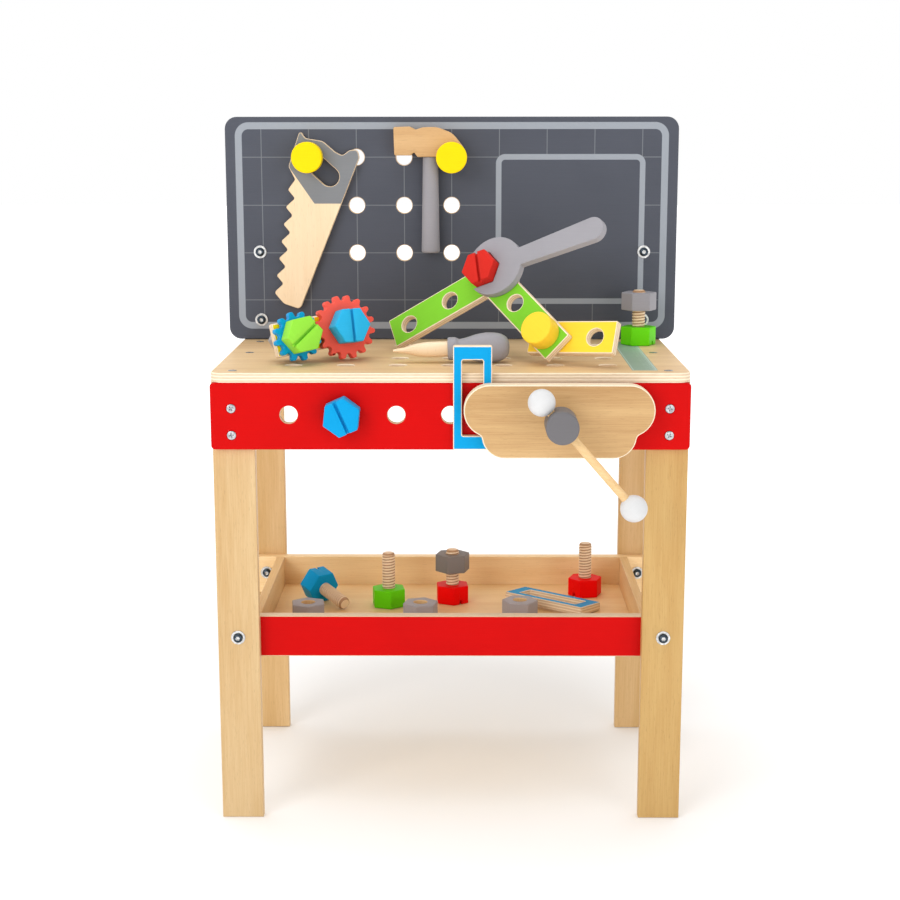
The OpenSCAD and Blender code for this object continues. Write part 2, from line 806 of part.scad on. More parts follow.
leg_front_left();
leg_front_right();
leg_back_left();
leg_back_right();
worktop();
front_apron();
back_rail();
side_rail_left();
side_rail_right();
tray_front();
tray_back();
tray_side_left();
tray_side_right();
tray_floor();
back_panel();
wood_screws();
frame_bolts();
frame_washers();
insert_nuts();
vise_nut_block();
vise_jaw();
vise_guides();
vise_screw();
vise_knob();
tommy_bar();
bar_balls();
clamped_frame();
saw();
hammer_head();
hammer_handle();
panel_peg_left();
panel_peg_right();
gear_strip();
gear_blue();
gear_red();
gear_bolt_green();
gear_bolt_blue();
gear_nuts();
green_strip_front();
green_strip_back();
yellow_strip();
strip_peg();
strip_bolt_red();
strip_nut();
spanner();
screwdriver_handle();
screwdriver_shaft();
worktop_bolt();
worktop_nut();
apron_bolt();
apron_nut();
tray_bolt_blue();
tray_bolt_green();
tray_bolt_red_left();
tray_bolt_nut();
tray_bolt_red_right();
loose_nut_left();
loose_nut_middle();
loose_nut_right();
tray_frame();
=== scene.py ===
import bpy
import bmesh
import json
import math
from mathutils import Matrix, Vector
from mathutils.geometry import tessellate_polygon


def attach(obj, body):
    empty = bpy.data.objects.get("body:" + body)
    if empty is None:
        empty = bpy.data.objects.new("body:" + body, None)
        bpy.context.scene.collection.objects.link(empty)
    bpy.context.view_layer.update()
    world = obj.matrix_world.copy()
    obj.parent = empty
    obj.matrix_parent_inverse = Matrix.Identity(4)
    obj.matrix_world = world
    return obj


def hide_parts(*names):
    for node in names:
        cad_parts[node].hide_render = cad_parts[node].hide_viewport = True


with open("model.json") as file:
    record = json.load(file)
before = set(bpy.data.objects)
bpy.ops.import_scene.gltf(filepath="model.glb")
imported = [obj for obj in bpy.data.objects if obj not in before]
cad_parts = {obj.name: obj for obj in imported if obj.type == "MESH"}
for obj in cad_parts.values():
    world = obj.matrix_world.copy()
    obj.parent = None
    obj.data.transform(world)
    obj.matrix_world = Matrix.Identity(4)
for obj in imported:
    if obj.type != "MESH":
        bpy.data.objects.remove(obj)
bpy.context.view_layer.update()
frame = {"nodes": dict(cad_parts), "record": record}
nodes = frame["nodes"]
MM = 0.001

# Sizes and places of the CAD, in millimetres; y is measured from the front face of the apron
MID_Y = 102.0
PITCH = 51.6
HOLE_R = 8.5
HOLE_Z = 414.0
WORKTOP_Z = 454.5
PANEL_ROWS = (550.0, 601.6, 653.2)
PLY_T = 9.0
HEX_AF = 33.0
HEAD_T = 19.5
NUT_T = 19.0
THREAD_L = 39.0
SLOT_W = 3.0
SLOT_D = 4.5
REST_GAP = 0.2
FLOOR_Z = 175.5
PANEL_BACK_Y = 259.0
FASTENER_X = 210.0
GEAR_AT = (-154.0, 70.5, 480.4)
GEAR_YAW, GEAR_LEAN, GEAR_ROLL = -27.0, 12.0, 7.0
STAND_AT = (36.5, 130.5, 538.6)
STAND_YAW, STAND_LEAN = 33.5, 25.5
FRONT_STRIP, BACK_STRIP, YELLOW_STRIP, SPANNER_ROLL = -35.5, 214.0, 4.0, 23.3
VISE_X = 2 * PITCH


def at(x, y, z):
    return Vector((x * MM, (y - MID_Y) * MM, z * MM))


def turn(axis, degrees):
    return Matrix.Rotation(math.radians(degrees), 4, axis)


def shift(x, y, z):
    return Matrix.Translation(Vector((x, y, z)) * MM)


def placed(x, y, z):
    return Matrix.Translation(at(x, y, z))


def leaning(place, lean, yaw):
    """Frame of a flat assembly that leans back by lean and is turned by yaw; its Z looks out of the face."""
    return placed(*place) @ turn("Z", -yaw) @ turn("X", 90 - lean)


def on_circle(r, a, z):
    """Point at radius r and height z, in millimetres, at angle a in radians."""
    return (r * MM * math.cos(a), r * MM * math.sin(a), z * MM)


GEARS = leaning(GEAR_AT, GEAR_LEAN, GEAR_YAW)
STAND = leaning(STAND_AT, STAND_LEAN, STAND_YAW)


# ---- Node-tree helper: arithmetic on sockets ----

class Value:
    def __init__(self, tree, socket):
        self.tree, self.socket = tree, socket

    def _m(self, op, *others, clamp=False):
        return self.tree.math(op, self, *others, clamp=clamp)

    def __add__(self, o): return self._m("ADD", o)
    def __radd__(self, o): return self._m("ADD", o)
    def __sub__(self, o): return self._m("SUBTRACT", o)
    def __rsub__(self, o): return self.tree.math("SUBTRACT", o, self)
    def __mul__(self, o): return self._m("MULTIPLY", o)
    def __rmul__(self, o): return self._m("MULTIPLY", o)
    def __truediv__(self, o): return self._m("DIVIDE", o)
    def __neg__(self): return self._m("MULTIPLY", -1.0)
    def abs(self): return self._m("ABSOLUTE")
    def sin(self): return self._m("SINE")
    def sqrt(self): return self._m("SQRT")
    def power(self, o): return self._m("POWER", o)
    def min(self, o): return self._m("MINIMUM", o)
    def max(self, o): return self._m("MAXIMUM", o)
    def fract(self): return self._m("FRACT")
    def floor(self): return self._m("FLOOR")
    def over(self, o): return self._m("GREATER_THAN", o)
    def clamp(self): return self._m("MULTIPLY", 1.0, clamp=True)

    def ramp(self, low, high):
        """0 below low, 1 above high, smooth between."""
        t = ((self - low) / (high - low)).clamp()
        return t * t * (3.0 - 2.0 * t)


class Tree:
    def __init__(self, name):
        self.mat = bpy.data.materials.new(name)
        self.mat.use_nodes = True
        self.nt = self.mat.node_tree
        self.nt.nodes.clear()
        self.bsdf = self.nt.nodes.new("ShaderNodeBsdfPrincipled")
        out = self.nt.nodes.new("ShaderNodeOutputMaterial")
        self.nt.links.new(self.bsdf.outputs[0], out.inputs[0])
        self.coord = self.nt.nodes.new("ShaderNodeTexCoord")

    def feed(self, socket, value):
        if isinstance(value, Value):
            self.nt.links.new(value.socket, socket)
        else:
            socket.default_value = value

    def math(self, op, *values, clamp=False):
        n = self.nt.nodes.new("ShaderNodeMath")
        n.operation = op
        n.use_clamp = clamp
        for i, v in enumerate(values):
            self.feed(n.inputs[i], v)
        return Value(self, n.outputs[0])

    def dot(self, which, direction):
        n = self.nt.nodes.new("ShaderNodeVectorMath")
        n.operation = "DOT_PRODUCT"
        self.nt.links.new(self.coord.outputs[which], n.inputs[0])
        n.inputs[1].default_value = direction
        return Value(self, n.outputs["Value"])

    def local(self, m):
        """Coordinates in millimetres along the axes of a frame given as a matrix."""
        o = m.to_translation()
        axes = [m.col[i].to_3d().normalized() for i in range(3)]
        return [(self.dot("Object", a) - a.dot(o)) * 1000.0 for a in axes]

    def noise(self, x, y, z, detail=2.0, rough=0.5):
        c = self.nt.nodes.new("ShaderNodeCombineXYZ")
        for i, v in enumerate((x, y, z)):
            self.feed(c.inputs[i], v)
        n = self.nt.nodes.new("ShaderNodeTexNoise")
        n.inputs["Scale"].default_value = 1.0
        n.inputs["Detail"].default_value = detail
        n.inputs["Roughness"].default_value = rough
        self.nt.links.new(c.outputs[0], n.inputs["Vector"])
        return Value(self, n.outputs[0])

    def mix(self, t, a, b):
        n = self.nt.nodes.new("ShaderNodeMix")
        n.data_type = "RGBA"
        self.feed(n.inputs[0], t)
        for socket, c in ((n.inputs[6], a), (n.inputs[7], b)):
            if isinstance(c, Value):
                self.nt.links.new(c.socket, socket)
            else:
                socket.default_value = (*c, 1.0)
        return Value(self, n.outputs[2])

    def finish(self, color, rough, height=None, bump_mm=0.1, **fixed):
        self.nt.links.new(color.socket, self.bsdf.inputs["Base Color"])
        self.feed(self.bsdf.inputs["Roughness"], rough)
        if height is not None:
            b = self.nt.nodes.new("ShaderNodeBump")
            b.inputs["Strength"].default_value = 1.0
            b.inputs["Distance"].default_value = bump_mm * MM
            self.feed(b.inputs["Height"], height)
            self.nt.links.new(b.outputs[0], self.bsdf.inputs["Normal"])
        for key, value in fixed.items():
            self.bsdf.inputs[key.replace("_", " ")].default_value = value
        return self.mat


# ---- Colours, linear ----

WOOD_LIGHT = (0.84, 0.60, 0.325)
WOOD_DARK = (0.68, 0.42, 0.17)
PLY_LIGHT = (0.80, 0.57, 0.33)
PLY_DARK = (0.66, 0.42, 0.20)
# Pale layer of the ply edges: unpainted pale wood, brightened further as a painted highlight on the edges
EDGE_PALE_AND_HIGHLIGHT = (0.92, 0.79, 0.60)
EDGE_DARK = (0.60, 0.42, 0.25)
GLUE = (0.30, 0.19, 0.10)
# Painted shade in the grooves of the wooden threads
THREAD_GROOVE_SHADE = (0.36, 0.17, 0.07)
RED = (0.60, 0.0006, 0.0006)
GEAR_RED = (0.93, 0.112, 0.078)
BLUE = (0.002, 0.33, 0.68)
STRIP_GREEN = (0.215, 0.60, 0.035)
BOLT_GREEN = (0.14, 0.70, 0.006)
# Painted light: lighter copies of the green and blue paint for the two bolts on the gears, which face the
# light
GEAR_BOLT_GREEN_LIT = (0.29, 0.73, 0.055)
GEAR_BOLT_BLUE_LIT = (0.025, 0.44, 0.77)
# Painted light: a brighter copy of the red paint for the bolts in the tray, whose fronts are lit from the
# front
TRAY_RED_LIT = (0.92, 0.0010, 0.0010)
STRIP_BOLT_RED = (0.62, 0.024, 0.016)
YELLOW = (0.96, 0.68, 0.003)
STRIP_YELLOW_PAINT = (0.95, 0.655, 0.045)
GREY = (0.33, 0.32, 0.345)
GREY_DARK = (0.165, 0.158, 0.165)
NUT_DARK = (0.215, 0.19, 0.175)
NUT_PALE = (0.395, 0.37, 0.39)
GREY_SAW = (0.225, 0.235, 0.25)
CHARCOAL = (0.085, 0.092, 0.115)
PRINT_LINE = (0.31, 0.335, 0.375)
PRINT_GRID = (0.20, 0.215, 0.235)
RULER = (0.16, 0.33, 0.28)
RULER_TICK = (0.62, 0.74, 0.68)
WHITE = (0.68, 0.68, 0.68)
TRAY_LIGHT = (0.97, 0.74, 0.43)
TRAY_DARK = (0.82, 0.55, 0.26)
PALE_LIGHT = (0.92, 0.73, 0.51)
PALE_DARK = (0.84, 0.63, 0.40)
LEG_LEFT_LIGHT = (0.69, 0.50, 0.268)
LEG_LEFT_DARK = (0.55, 0.335, 0.135)
LEG_BACK_LIGHT = (0.71, 0.49, 0.25)
LEG_BACK_DARK = (0.56, 0.335, 0.12)
# Painted shade: a darker copy of the leg wood for the front right leg, which the light reaches less
LEG_RIGHT_SHADED_LIGHT = (0.60, 0.385, 0.142)
LEG_RIGHT_SHADED_DARK = (0.48, 0.265, 0.075)
JAW_LIGHT = (0.645, 0.42, 0.195)
JAW_DARK = (0.44, 0.24, 0.09)
HAMMER_LIGHT = (0.69, 0.45, 0.22)
HAMMER_DARK = (0.54, 0.31, 0.13)
PAINT_SPECULAR = 0.08
WOOD_SPECULAR = 0.35
IDENTITY = Matrix.Identity(4)


def wood_pattern(t, x, y, z, light, dark, seed=0.0, figure=1.0):
    """Long grain along x: growth figure, fibres and short dark pores. Gives a colour and a height."""
    wander = t.noise(x / 210.0 + seed, y / 34.0, z / 34.0, 2.0)
    rings = ((y / 9.0 + z / 13.0 + wander * 9.0 + seed) * 2.0).sin() * 0.5 + 0.5
    broad = t.noise(x / 330.0 + seed * 1.7, y / 26.0 + seed, z / 26.0, 3.0)
    fibre = t.noise(x / 42.0 + seed, y / 0.9, z / 0.9, 3.0, 0.6)
    flecks = t.noise(x / 7.5 + seed, y / 0.55, z / 0.55, 1.0).ramp(0.64, 0.74)
    tone = broad.ramp(0.3, 0.72) * 0.5 + rings * 0.16 * figure + fibre.ramp(0.3, 0.7) * 0.34
    color = t.mix(tone.clamp(), light, dark)
    color = t.mix(flecks * 0.35, color, tuple(c * 0.62 for c in dark))
    height = fibre * 0.5 - flecks * 0.6 + rings * 0.08
    return color, height


def ply_edge(t, along, across, depth, seed=0.0):
    """Glued layers, seen on the edge of a board: depth runs through the board's thickness."""
    waver = t.noise(along / 60.0 + seed, depth / 5.0, across / 60.0, 2.0)
    layer = ((depth + waver * 0.5) / 3.0).fract()
    dark_layer = layer.ramp(0.44, 0.52) * (1.0 - layer.ramp(0.93, 1.0))
    fibre = t.noise(along / 9.0 + seed, depth / 0.35, across / 9.0, 3.0, 0.65)
    # the pale layers carry a painted highlight as well as the pale wood
    color = t.mix((dark_layer * 0.55 + fibre.ramp(0.35, 0.7) * 0.3).clamp(), EDGE_PALE_AND_HIGHLIGHT, EDGE_DARK)
    glue = 1.0 - (layer - 0.48).abs().ramp(0.0, 0.06)
    color = t.mix(glue * 0.35, color, GLUE)
    return color, fibre * 0.5 - glue * 0.4


def facing(t, direction, limit=0.975):
    """1 where the surface looks along the direction, 0 elsewhere."""
    return t.dot("Normal", direction).ramp(limit - 0.01, limit + 0.01)


def paint_pattern(t, x, y, z, color, seed=0.0):
    """Sprayed satin paint: faint tone drift, orange peel and a trace of the grain under it."""
    drift = t.noise(x / 60.0 + seed, y / 60.0, z / 60.0, 3.0)
    peel = t.noise(x / 1.3 + seed, y / 1.3, z / 1.3, 2.0)
    grain = t.noise(x / 30.0 + seed, y / 1.1, z / 1.1, 3.0, 0.6)
    shade = (drift.ramp(0.25, 0.75) * 0.7 + grain.ramp(0.3, 0.7) * 0.3)
    deep = tuple(c * 0.90 for c in color)
    out = t.mix(shade, deep, color)
    rough = 0.33 + drift * 0.10 + peel * 0.05
    return out, rough, peel * 0.35 + grain * 0.65


SEED_STEP = 3.37
seeds = [0.0]


def next_seed():
    """A new place in the noise for each material, so that no two boards have the same grain."""
    seeds[0] += SEED_STEP
    return seeds[0]


def wood(name, m=IDENTITY, grain="X", light=WOOD_LIGHT, dark=WOOD_DARK, figure=1.0):
    t = Tree(name)
    x, y, z = t.local(m)
    if grain == "Y":
        x, y = y, x
    if grain == "Z":
        x, z = z, x
    color, height = wood_pattern(t, x, y, z, light, dark, next_seed(), figure)
    return t.finish(color, 0.42 + height * 0.12, height, 0.05, Specular_IOR_Level=WOOD_SPECULAR)


def ply_board(name, m, face_color=None, both=True, light=PLY_LIGHT, dark=PLY_DARK, grain="X", printed=None,
              edge_paint=None, gloss=0.3):
    """A board whose faces look along the Z axis of m: faces painted or plain, edges showing the layers."""
    t = Tree(name)
    x, y, z = t.local(m)
    seed = next_seed()
    gx, gy = (x, y) if grain == "X" else (y, x)
    plain, plain_h = wood_pattern(t, gx, gy, z, light, dark, seed, 1.0)
    edge, edge_h = ply_edge(t, x + y, x - y, z + 0.2, seed)
    n = m.col[2].to_3d().normalized()
    front = facing(t, n)
    back = facing(t, -n)
    face = (front + back).clamp()
    color = t.mix(face, edge, plain)
    rough = 0.45 + (1.0 - face) * 0.18
    height = edge_h + (plain_h - edge_h) * face
    if face_color is not None:
        paint, paint_rough, paint_h = paint_pattern(t, x, y, z, face_color, seed)
        where = face if both else front
        if edge_paint is not None:
            where = edge_paint(x, y, where)
        if printed is not None:
            paint = printed(t, x, y, paint)
        color = t.mix(where, color, paint)
        rough = rough + (paint_rough - rough) * where
        height = height + (paint_h - height) * where
    elif printed is not None:
        color = t.mix(front, color, printed(t, x, y, color))
    specular = PAINT_SPECULAR if face_color is not None else gloss
    return t.finish(color, rough, height, 0.05, Specular_IOR_Level=specular)


def paint(name, color, m=IDENTITY):
    t = Tree(name)
    x, y, z = t.local(m)
    out, rough, height = paint_pattern(t, x, y, z, color, next_seed())
    return t.finish(out, rough, height, 0.04, Specular_IOR_Level=PAINT_SPECULAR)


def threaded_wood(name, root=6.2, crest=7.0):
    """Beech thread along Z of its own object: grain along the axis, and painted shade that darkens the
    grooves.
    """
    t = Tree(name)
    x, y, z = t.local(IDENTITY)
    color, height = wood_pattern(t, z, x, y, PALE_LIGHT, PALE_DARK, next_seed(), 0.6)
    r = (x * x + y * y).sqrt()
    side = 1.0 - t.dot("Normal", (0, 0, 1)).abs().ramp(0.85, 0.95)
    # painted shade: darker where the radius falls into the grooves, not on the end faces
    groove_shade = (1.0 - r.ramp(root + 0.2, crest - 0.02)) * side
    color = t.mix(groove_shade * 0.8, color, THREAD_GROOVE_SHADE)
    return t.finish(color, 0.5 + groove_shade * 0.2, height, 0.04, Specular_IOR_Level=WOOD_SPECULAR)


def steel(name, low, high):
    """Zinc-plated steel: cloudy tone from low to high and fine scratches."""
    t = Tree(name)
    x, y, z = t.local(IDENTITY)
    cloud = t.noise(x / 2.5, y / 2.5, z / 2.5, 3.0)
    scratch = t.noise(x / 0.25, y / 4.0, z / 0.25, 2.0)
    color = t.mix(cloud.ramp(0.3, 0.7), low, high)
    return t.finish(color, 0.22 + scratch * 0.2, scratch, 0.01, Metallic=1.0)


# ---- Printed patterns ----

def rounded_box(x, y, cx, cy, hx, hy, r):
    """Signed distance to a rounded rectangle."""
    qx = (x - cx).abs() - (hx - r)
    qy = (y - cy).abs() - (hy - r)
    px, py = qx.max(0.0), qy.max(0.0)
    return (px * px + py * py).sqrt() + qx.max(qy).min(0.0) - r


def line_mask(distance, half, soft=0.25):
    """1 within half of the line, 0 outside, with soft sides."""
    return 1.0 - (distance.abs() - half).ramp(-soft, soft)


def panel_print(t, x, y, base):
    """x across, y up, both in row millimetres: grid, rounded border and one rounded window outline."""
    inside = 1.0 - rounded_box(x, y, 0.0, 578.5, 227.0, 104.5, 8.0).ramp(-0.3, 0.3)
    gx = ((x / PITCH).fract() - 0.5).abs() - 0.5
    gy = (((y - PANEL_ROWS[0]) / PITCH).fract() - 0.5).abs() - 0.5
    half_line, soft = 0.45, 0.25
    across = 1.0 - (gx.abs() * PITCH - half_line).ramp(-soft, soft)
    grid = across.max(1.0 - (gy.abs() * PITCH - half_line).ramp(-soft, soft))
    window = rounded_box(x, y, 129.0, 575.2, 78.0, 78.2, 7.0)
    outside_window = window.ramp(-0.3, 0.3)
    out = t.mix(grid * inside * outside_window * 0.8, base, PRINT_GRID)
    border = line_mask(rounded_box(x, y, 0.0, 578.5, 231.0, 108.2, 11.0), 3.7)
    out = t.mix(border, out, PRINT_LINE)
    return t.mix(line_mask(window, 3.0), out, PRINT_LINE)


def ruler_print(t, x, y, base):
    """A plain scale along the right side of the worktop: long, middle and short ticks."""
    x0, y0, start = 187.5, 129.0, 18.0
    strip = 1.0 - rounded_box(x, y, x0, y0, 12.5, 111.0, 1.0).ramp(-0.2, 0.2)
    step = ((y - start) / 10.0).fract()
    half_step = ((y - start) / 5.0).fract()
    fine = ((y - start) / 2.0).fract()
    tick_10 = ((step - 0.5).abs() - 0.47).ramp(-0.005, 0.005) * x.over(189.0)
    tick_5 = ((half_step - 0.5).abs() - 0.45).ramp(-0.01, 0.01) * x.over(193.0)
    tick_2 = ((fine - 0.5).abs() - 0.40).ramp(-0.02, 0.02) * x.over(196.0)
    ticks = tick_10.max(tick_5).max(tick_2)
    inner = line_mask(rounded_box(x, y, x0, y0, 11.0, 109.5, 1.0), 0.3)
    out = t.mix(strip * 0.82, base, RULER)
    return t.mix(ticks.max(inner) * strip * 0.85, out, RULER_TICK)


# ---- Own meshes ----

def new_piece(name, mesh, matrix, materials, body, replaced):
    """A visible piece on a body, in place of the CAD nodes in the list replaced."""
    for m in materials:
        mesh.materials.append(m)
    o = bpy.data.objects.new(name, mesh)
    bpy.context.scene.collection.objects.link(o)
    o.matrix_world = matrix
    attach(o, body)
    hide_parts(*replaced)
    return o


def rings_mesh(rings, close_start=False, close_end=False):
    """Faces between rings of points; each ring has the same number of points. Returns vertices, faces."""
    verts = [p for ring in rings for p in ring]
    n = len(rings[0])
    faces = []
    for i in range(len(rings) - 1):
        for j in range(n):
            k = (j + 1) % n
            faces.append((i * n + j, i * n + k, (i + 1) * n + k, (i + 1) * n + j))
    if close_start:
        faces.append(tuple(reversed(range(n))))
    if close_end:
        faces.append(tuple(range((len(rings) - 1) * n, len(rings) * n)))
    return verts, faces


def lathe(profile, steps=96):
    """Profile points (radius, height) turned about Z, in millimetres."""
    return [[on_circle(r, 2 * math.pi * i / steps, z) for i in range(steps)] for r, z in profile]


def smooth_profile(points, per=6):
    """Catmull-Rom curve through profile points."""
    out = []
    pts = [points[0]] + list(points) + [points[-1]]
    for i in range(1, len(pts) - 2):
        p0, p1, p2, p3 = pts[i - 1], pts[i], pts[i + 1], pts[i + 2]
        for s in range(per):
            t = s / per
            out.append(tuple(0.5 * (2 * b + (c - a) * t + (2 * a - 5 * b + 4 * c - d) * t * t
                                    + (3 * b - a - 3 * c + d) * t ** 3)
                             for a, b, c, d in zip(p0, p1, p2, p3)))
    out.append(points[-1])
    return out


def mesh_from(name, parts, sharp=40.0):
    """Joins (vertices, faces, material index) parts into one mesh with smooth shading and sharp creases."""
    verts, faces, mats = [], [], []
    for v, f, m in parts:
        base = len(verts)
        verts += v
        faces += [tuple(i + base for i in face) for face in f]
        mats += [m] * len(f)
    me = bpy.data.meshes.new(name)
    me.from_pydata(verts, [], faces)
    me.validate()
    for poly, m in zip(me.polygons, mats):
        poly.material_index = m
        poly.use_smooth = True
    me.set_sharp_from_angle(angle=math.radians(sharp))
    return me


BODY_OF = {n: b for b, names in frame["record"]["behaviour"]["bodies"].items() for n in names}


def cap_loops(node, m):
    """Outlines of the face of a CAD plate that looks along Z of frame m, and its two heights, in mm."""
    me = nodes[node].data
    inv = m.inverted()
    local = [inv @ v.co for v in me.vertices]
    low = min(p.z for p in local)
    high = max(p.z for p in local)
    key = [(round(p.x / MM, 3), round(p.y / MM, 3)) for p in local]
    edges = set()
    for poly in me.polygons:
        ids = list(poly.vertices)
        if all(abs(local[i].z - high) < 0.00001 for i in ids):
            for i, j in zip(ids, ids[1:] + ids[:1]):
                if key[i] != key[j]:
                    edges.add((key[i], key[j]))
    outer = {a: b for a, b in edges if (b, a) not in edges}
    loops = []
    while outer:
        start, here = next(iter(sorted(outer.items())))
        loop = [start]
        del outer[start]
        while here != start:
            loop.append(here)
            here = outer.pop(here)
        loops.append([Vector(p) for p in loop])
    return loops, low / MM, high / MM


def finer_circle(loop, steps=64):
    """A loop that is a circle gets more points, running the same way round."""
    c = sum(loop, Vector((0, 0))) / len(loop)
    radii = [(p - c).length for p in loop]
    if len(loop) < 10 or max(radii) - min(radii) > 0.02:
        return loop
    area = sum(p.x * q.y - q.x * p.y for p, q in zip(loop, loop[1:] + loop[:1]))
    way = 1 if area > 0 else -1
    angles = [way * 2 * math.pi * i / steps for i in range(steps)]
    return [c + Vector((math.cos(a), math.sin(a))) * max(radii) for a in angles]


def inset(loop, d):
    """The loop moved into the material by d, with mitred corners."""
    out = []
    n = len(loop)
    for i in range(n):
        a = (loop[i] - loop[i - 1]).normalized()
        b = (loop[(i + 1) % n] - loop[i]).normalized()
        na, nb = Vector((-a.y, a.x)), Vector((-b.y, b.x))
        k = 1 + na.dot(nb)
        out.append(loop[i] + (na + nb) * (d / max(k, 0.35)))
    return out


def plate_part(loops, low, high, m, edge, steps=4):
    """A solid plate with rounded edges from its outlines in frame m: vertices, faces, material index."""
    verts, faces = [], []
    caps = []
    for loop in loops:
        rings = []
        quarter = [math.radians(90.0 * k / steps) for k in range(steps + 1)]
        for w in quarter:
            rings.append((inset(loop, edge * (1 - math.sin(w))), high - edge * (1 - math.cos(w))))
        for w in reversed(quarter):
            rings.append((inset(loop, edge * (1 - math.sin(w))), low + edge * (1 - math.cos(w))))
        base = len(verts)
        n = len(loop)
        for pts, z in rings:
            verts += [tuple(m @ Vector((p.x * MM, p.y * MM, z * MM))) for p in pts]
        for i in range(len(rings) - 1):
            here, below = base + i * n, base + (i + 1) * n
            for j in range(n):
                k = (j + 1) % n
                faces.append((here + k, here + j, below + j, below + k))
        caps.append(([Vector((p.x, p.y, 0)) for p in rings[0][0]], base, base + (len(rings) - 1) * n))
    flat = tessellate_polygon([c[0] for c in caps])
    top_ids, bottom_ids = [], []
    for pts, top, bottom in caps:
        top_ids += [top + i for i in range(len(pts))]
        bottom_ids += [bottom + i for i in range(len(pts))]
    points = [p for c in caps for p in c[0]]
    for tri in flat:
        a, b, c = tri
        if (points[b] - points[a]).cross(points[c] - points[a]).z < 0:
            a, c = c, a
        faces.append((top_ids[a], top_ids[b], top_ids[c]))
        faces.append((bottom_ids[c], bottom_ids[b], bottom_ids[a]))
    return verts, faces, 0


def plate(node, m, material, edge=1.0, sharp=32.0):
    """Rebuilds a CAD plate from its own outline, with rounded edges and finer holes."""
    loops, low, high = cap_loops(node, m)
    part = plate_part([finer_circle(l) for l in loops], low, high, m, edge)
    me = mesh_from(node + "_plate", [part], sharp)
    o = new_piece(node + "_plate", me, IDENTITY, [material], BODY_OF[node], [node])
    o.modifiers.new("normals", "WEIGHTED_NORMAL").keep_sharp = True


def hex_point(degrees, inset, corner_r=1.6):
    """Point on a hexagon with a corner at 0 degrees, inset from its flats, corners rounded."""
    apothem = HEX_AF / 2 - inset
    # a corner lies at a = 0; the middles of the flats beside it are at -30 and 30 degrees
    a = (degrees + 30.0) % 60.0 - 30.0
    turn_to = degrees - a
    r_c = max(corner_r - inset, 0.3)
    cx = (apothem - r_c) / math.cos(math.radians(30))
    direct = Vector((math.cos(math.radians(a)), math.sin(math.radians(a))))
    side = 1 if a >= 0 else -1
    normal = Vector((math.cos(math.radians(30 * side)), math.sin(math.radians(30 * side))))
    dist = apothem / direct.dot(normal)
    p = direct * dist
    start = Vector((cx, 0)) + normal * r_c
    if abs(p.y) < abs(start.y):
        b = -2 * cx * direct.x
        c = cx * cx - r_c * r_c
        p = direct * ((-b + math.sqrt(max(b * b - 4 * c, 0.0))) / 2)
    w = math.radians(turn_to)
    return (p.x * math.cos(w) - p.y * math.sin(w), p.x * math.sin(w) + p.y * math.cos(w))


HEX_ANGLES = [c * 60.0 + d for c in range(6) for d in
              (-30, -24, -18, -12, -8, -5, -3.5, -2.2, -1.1, 0, 1.1, 2.2, 3.5, 5, 8, 12, 18, 24)]


def hex_ring(z, inset):
    return [(p[0] * MM, p[1] * MM, z * MM) for p in (hex_point(a, inset) for a in HEX_ANGLES)]


def edge_rings(z0, z1, edge=1.1, steps=4):
    """The outside of a hexagonal block from z0 up to z1, with rounded rims."""
    low, high = [], []
    for k in range(steps + 1):
        w = math.radians(90.0 * k / steps)
        inset, rise = edge * (1 - math.sin(w)), edge * (1 - math.cos(w))
        low.append(hex_ring(z0 + rise, inset))
        high.append(hex_ring(z1 - rise, inset))
    return low + list(reversed(high))


THREAD_CREST, THREAD_ROOT, THREAD_PITCH = 7.0, 6.2, 3.1


def thread_radius(z, angle, crest, root, z0, z1):
    """Radius of a rounded thread that fades out at both ends."""
    phase = (z / THREAD_PITCH - angle / (2 * math.pi)) % 1.0
    bump = 0.5 + 0.5 * math.cos(2 * math.pi * phase)
    bump = min(1.0, max(0.0, (bump - 0.08) / 0.44))
    bump = bump * bump * (3 - 2 * bump)
    fade = min(1.0, (z - z0) / 2.0, (z1 - z) / 1.0)
    return root + (crest - root) * bump * max(0.0, fade)


def thread_rings(z0, z1, crest=THREAD_CREST, root=THREAD_ROOT, steps=48, pieces=11):
    count = int((z1 - z0) / THREAD_PITCH * pieces)
    rings = []
    for i in range(count + 1):
        z = z0 + (z1 - z0) * i / count
        angles = [2 * math.pi * j / steps for j in range(steps)]
        rings.append([on_circle(thread_radius(z, a, crest, root, z0, z1), a, z) for a in angles])
    return rings


def shank(z0, z1, crest=THREAD_CREST, root=THREAD_ROOT):
    """Threaded rod from z0, its free end, up to z1, with a chamfered end."""
    rings = lathe([(root - 1.0, z0)], 48) + thread_rings(z0 + 0.8, z1, crest, root, 48)
    return rings_mesh(rings, close_start=True)


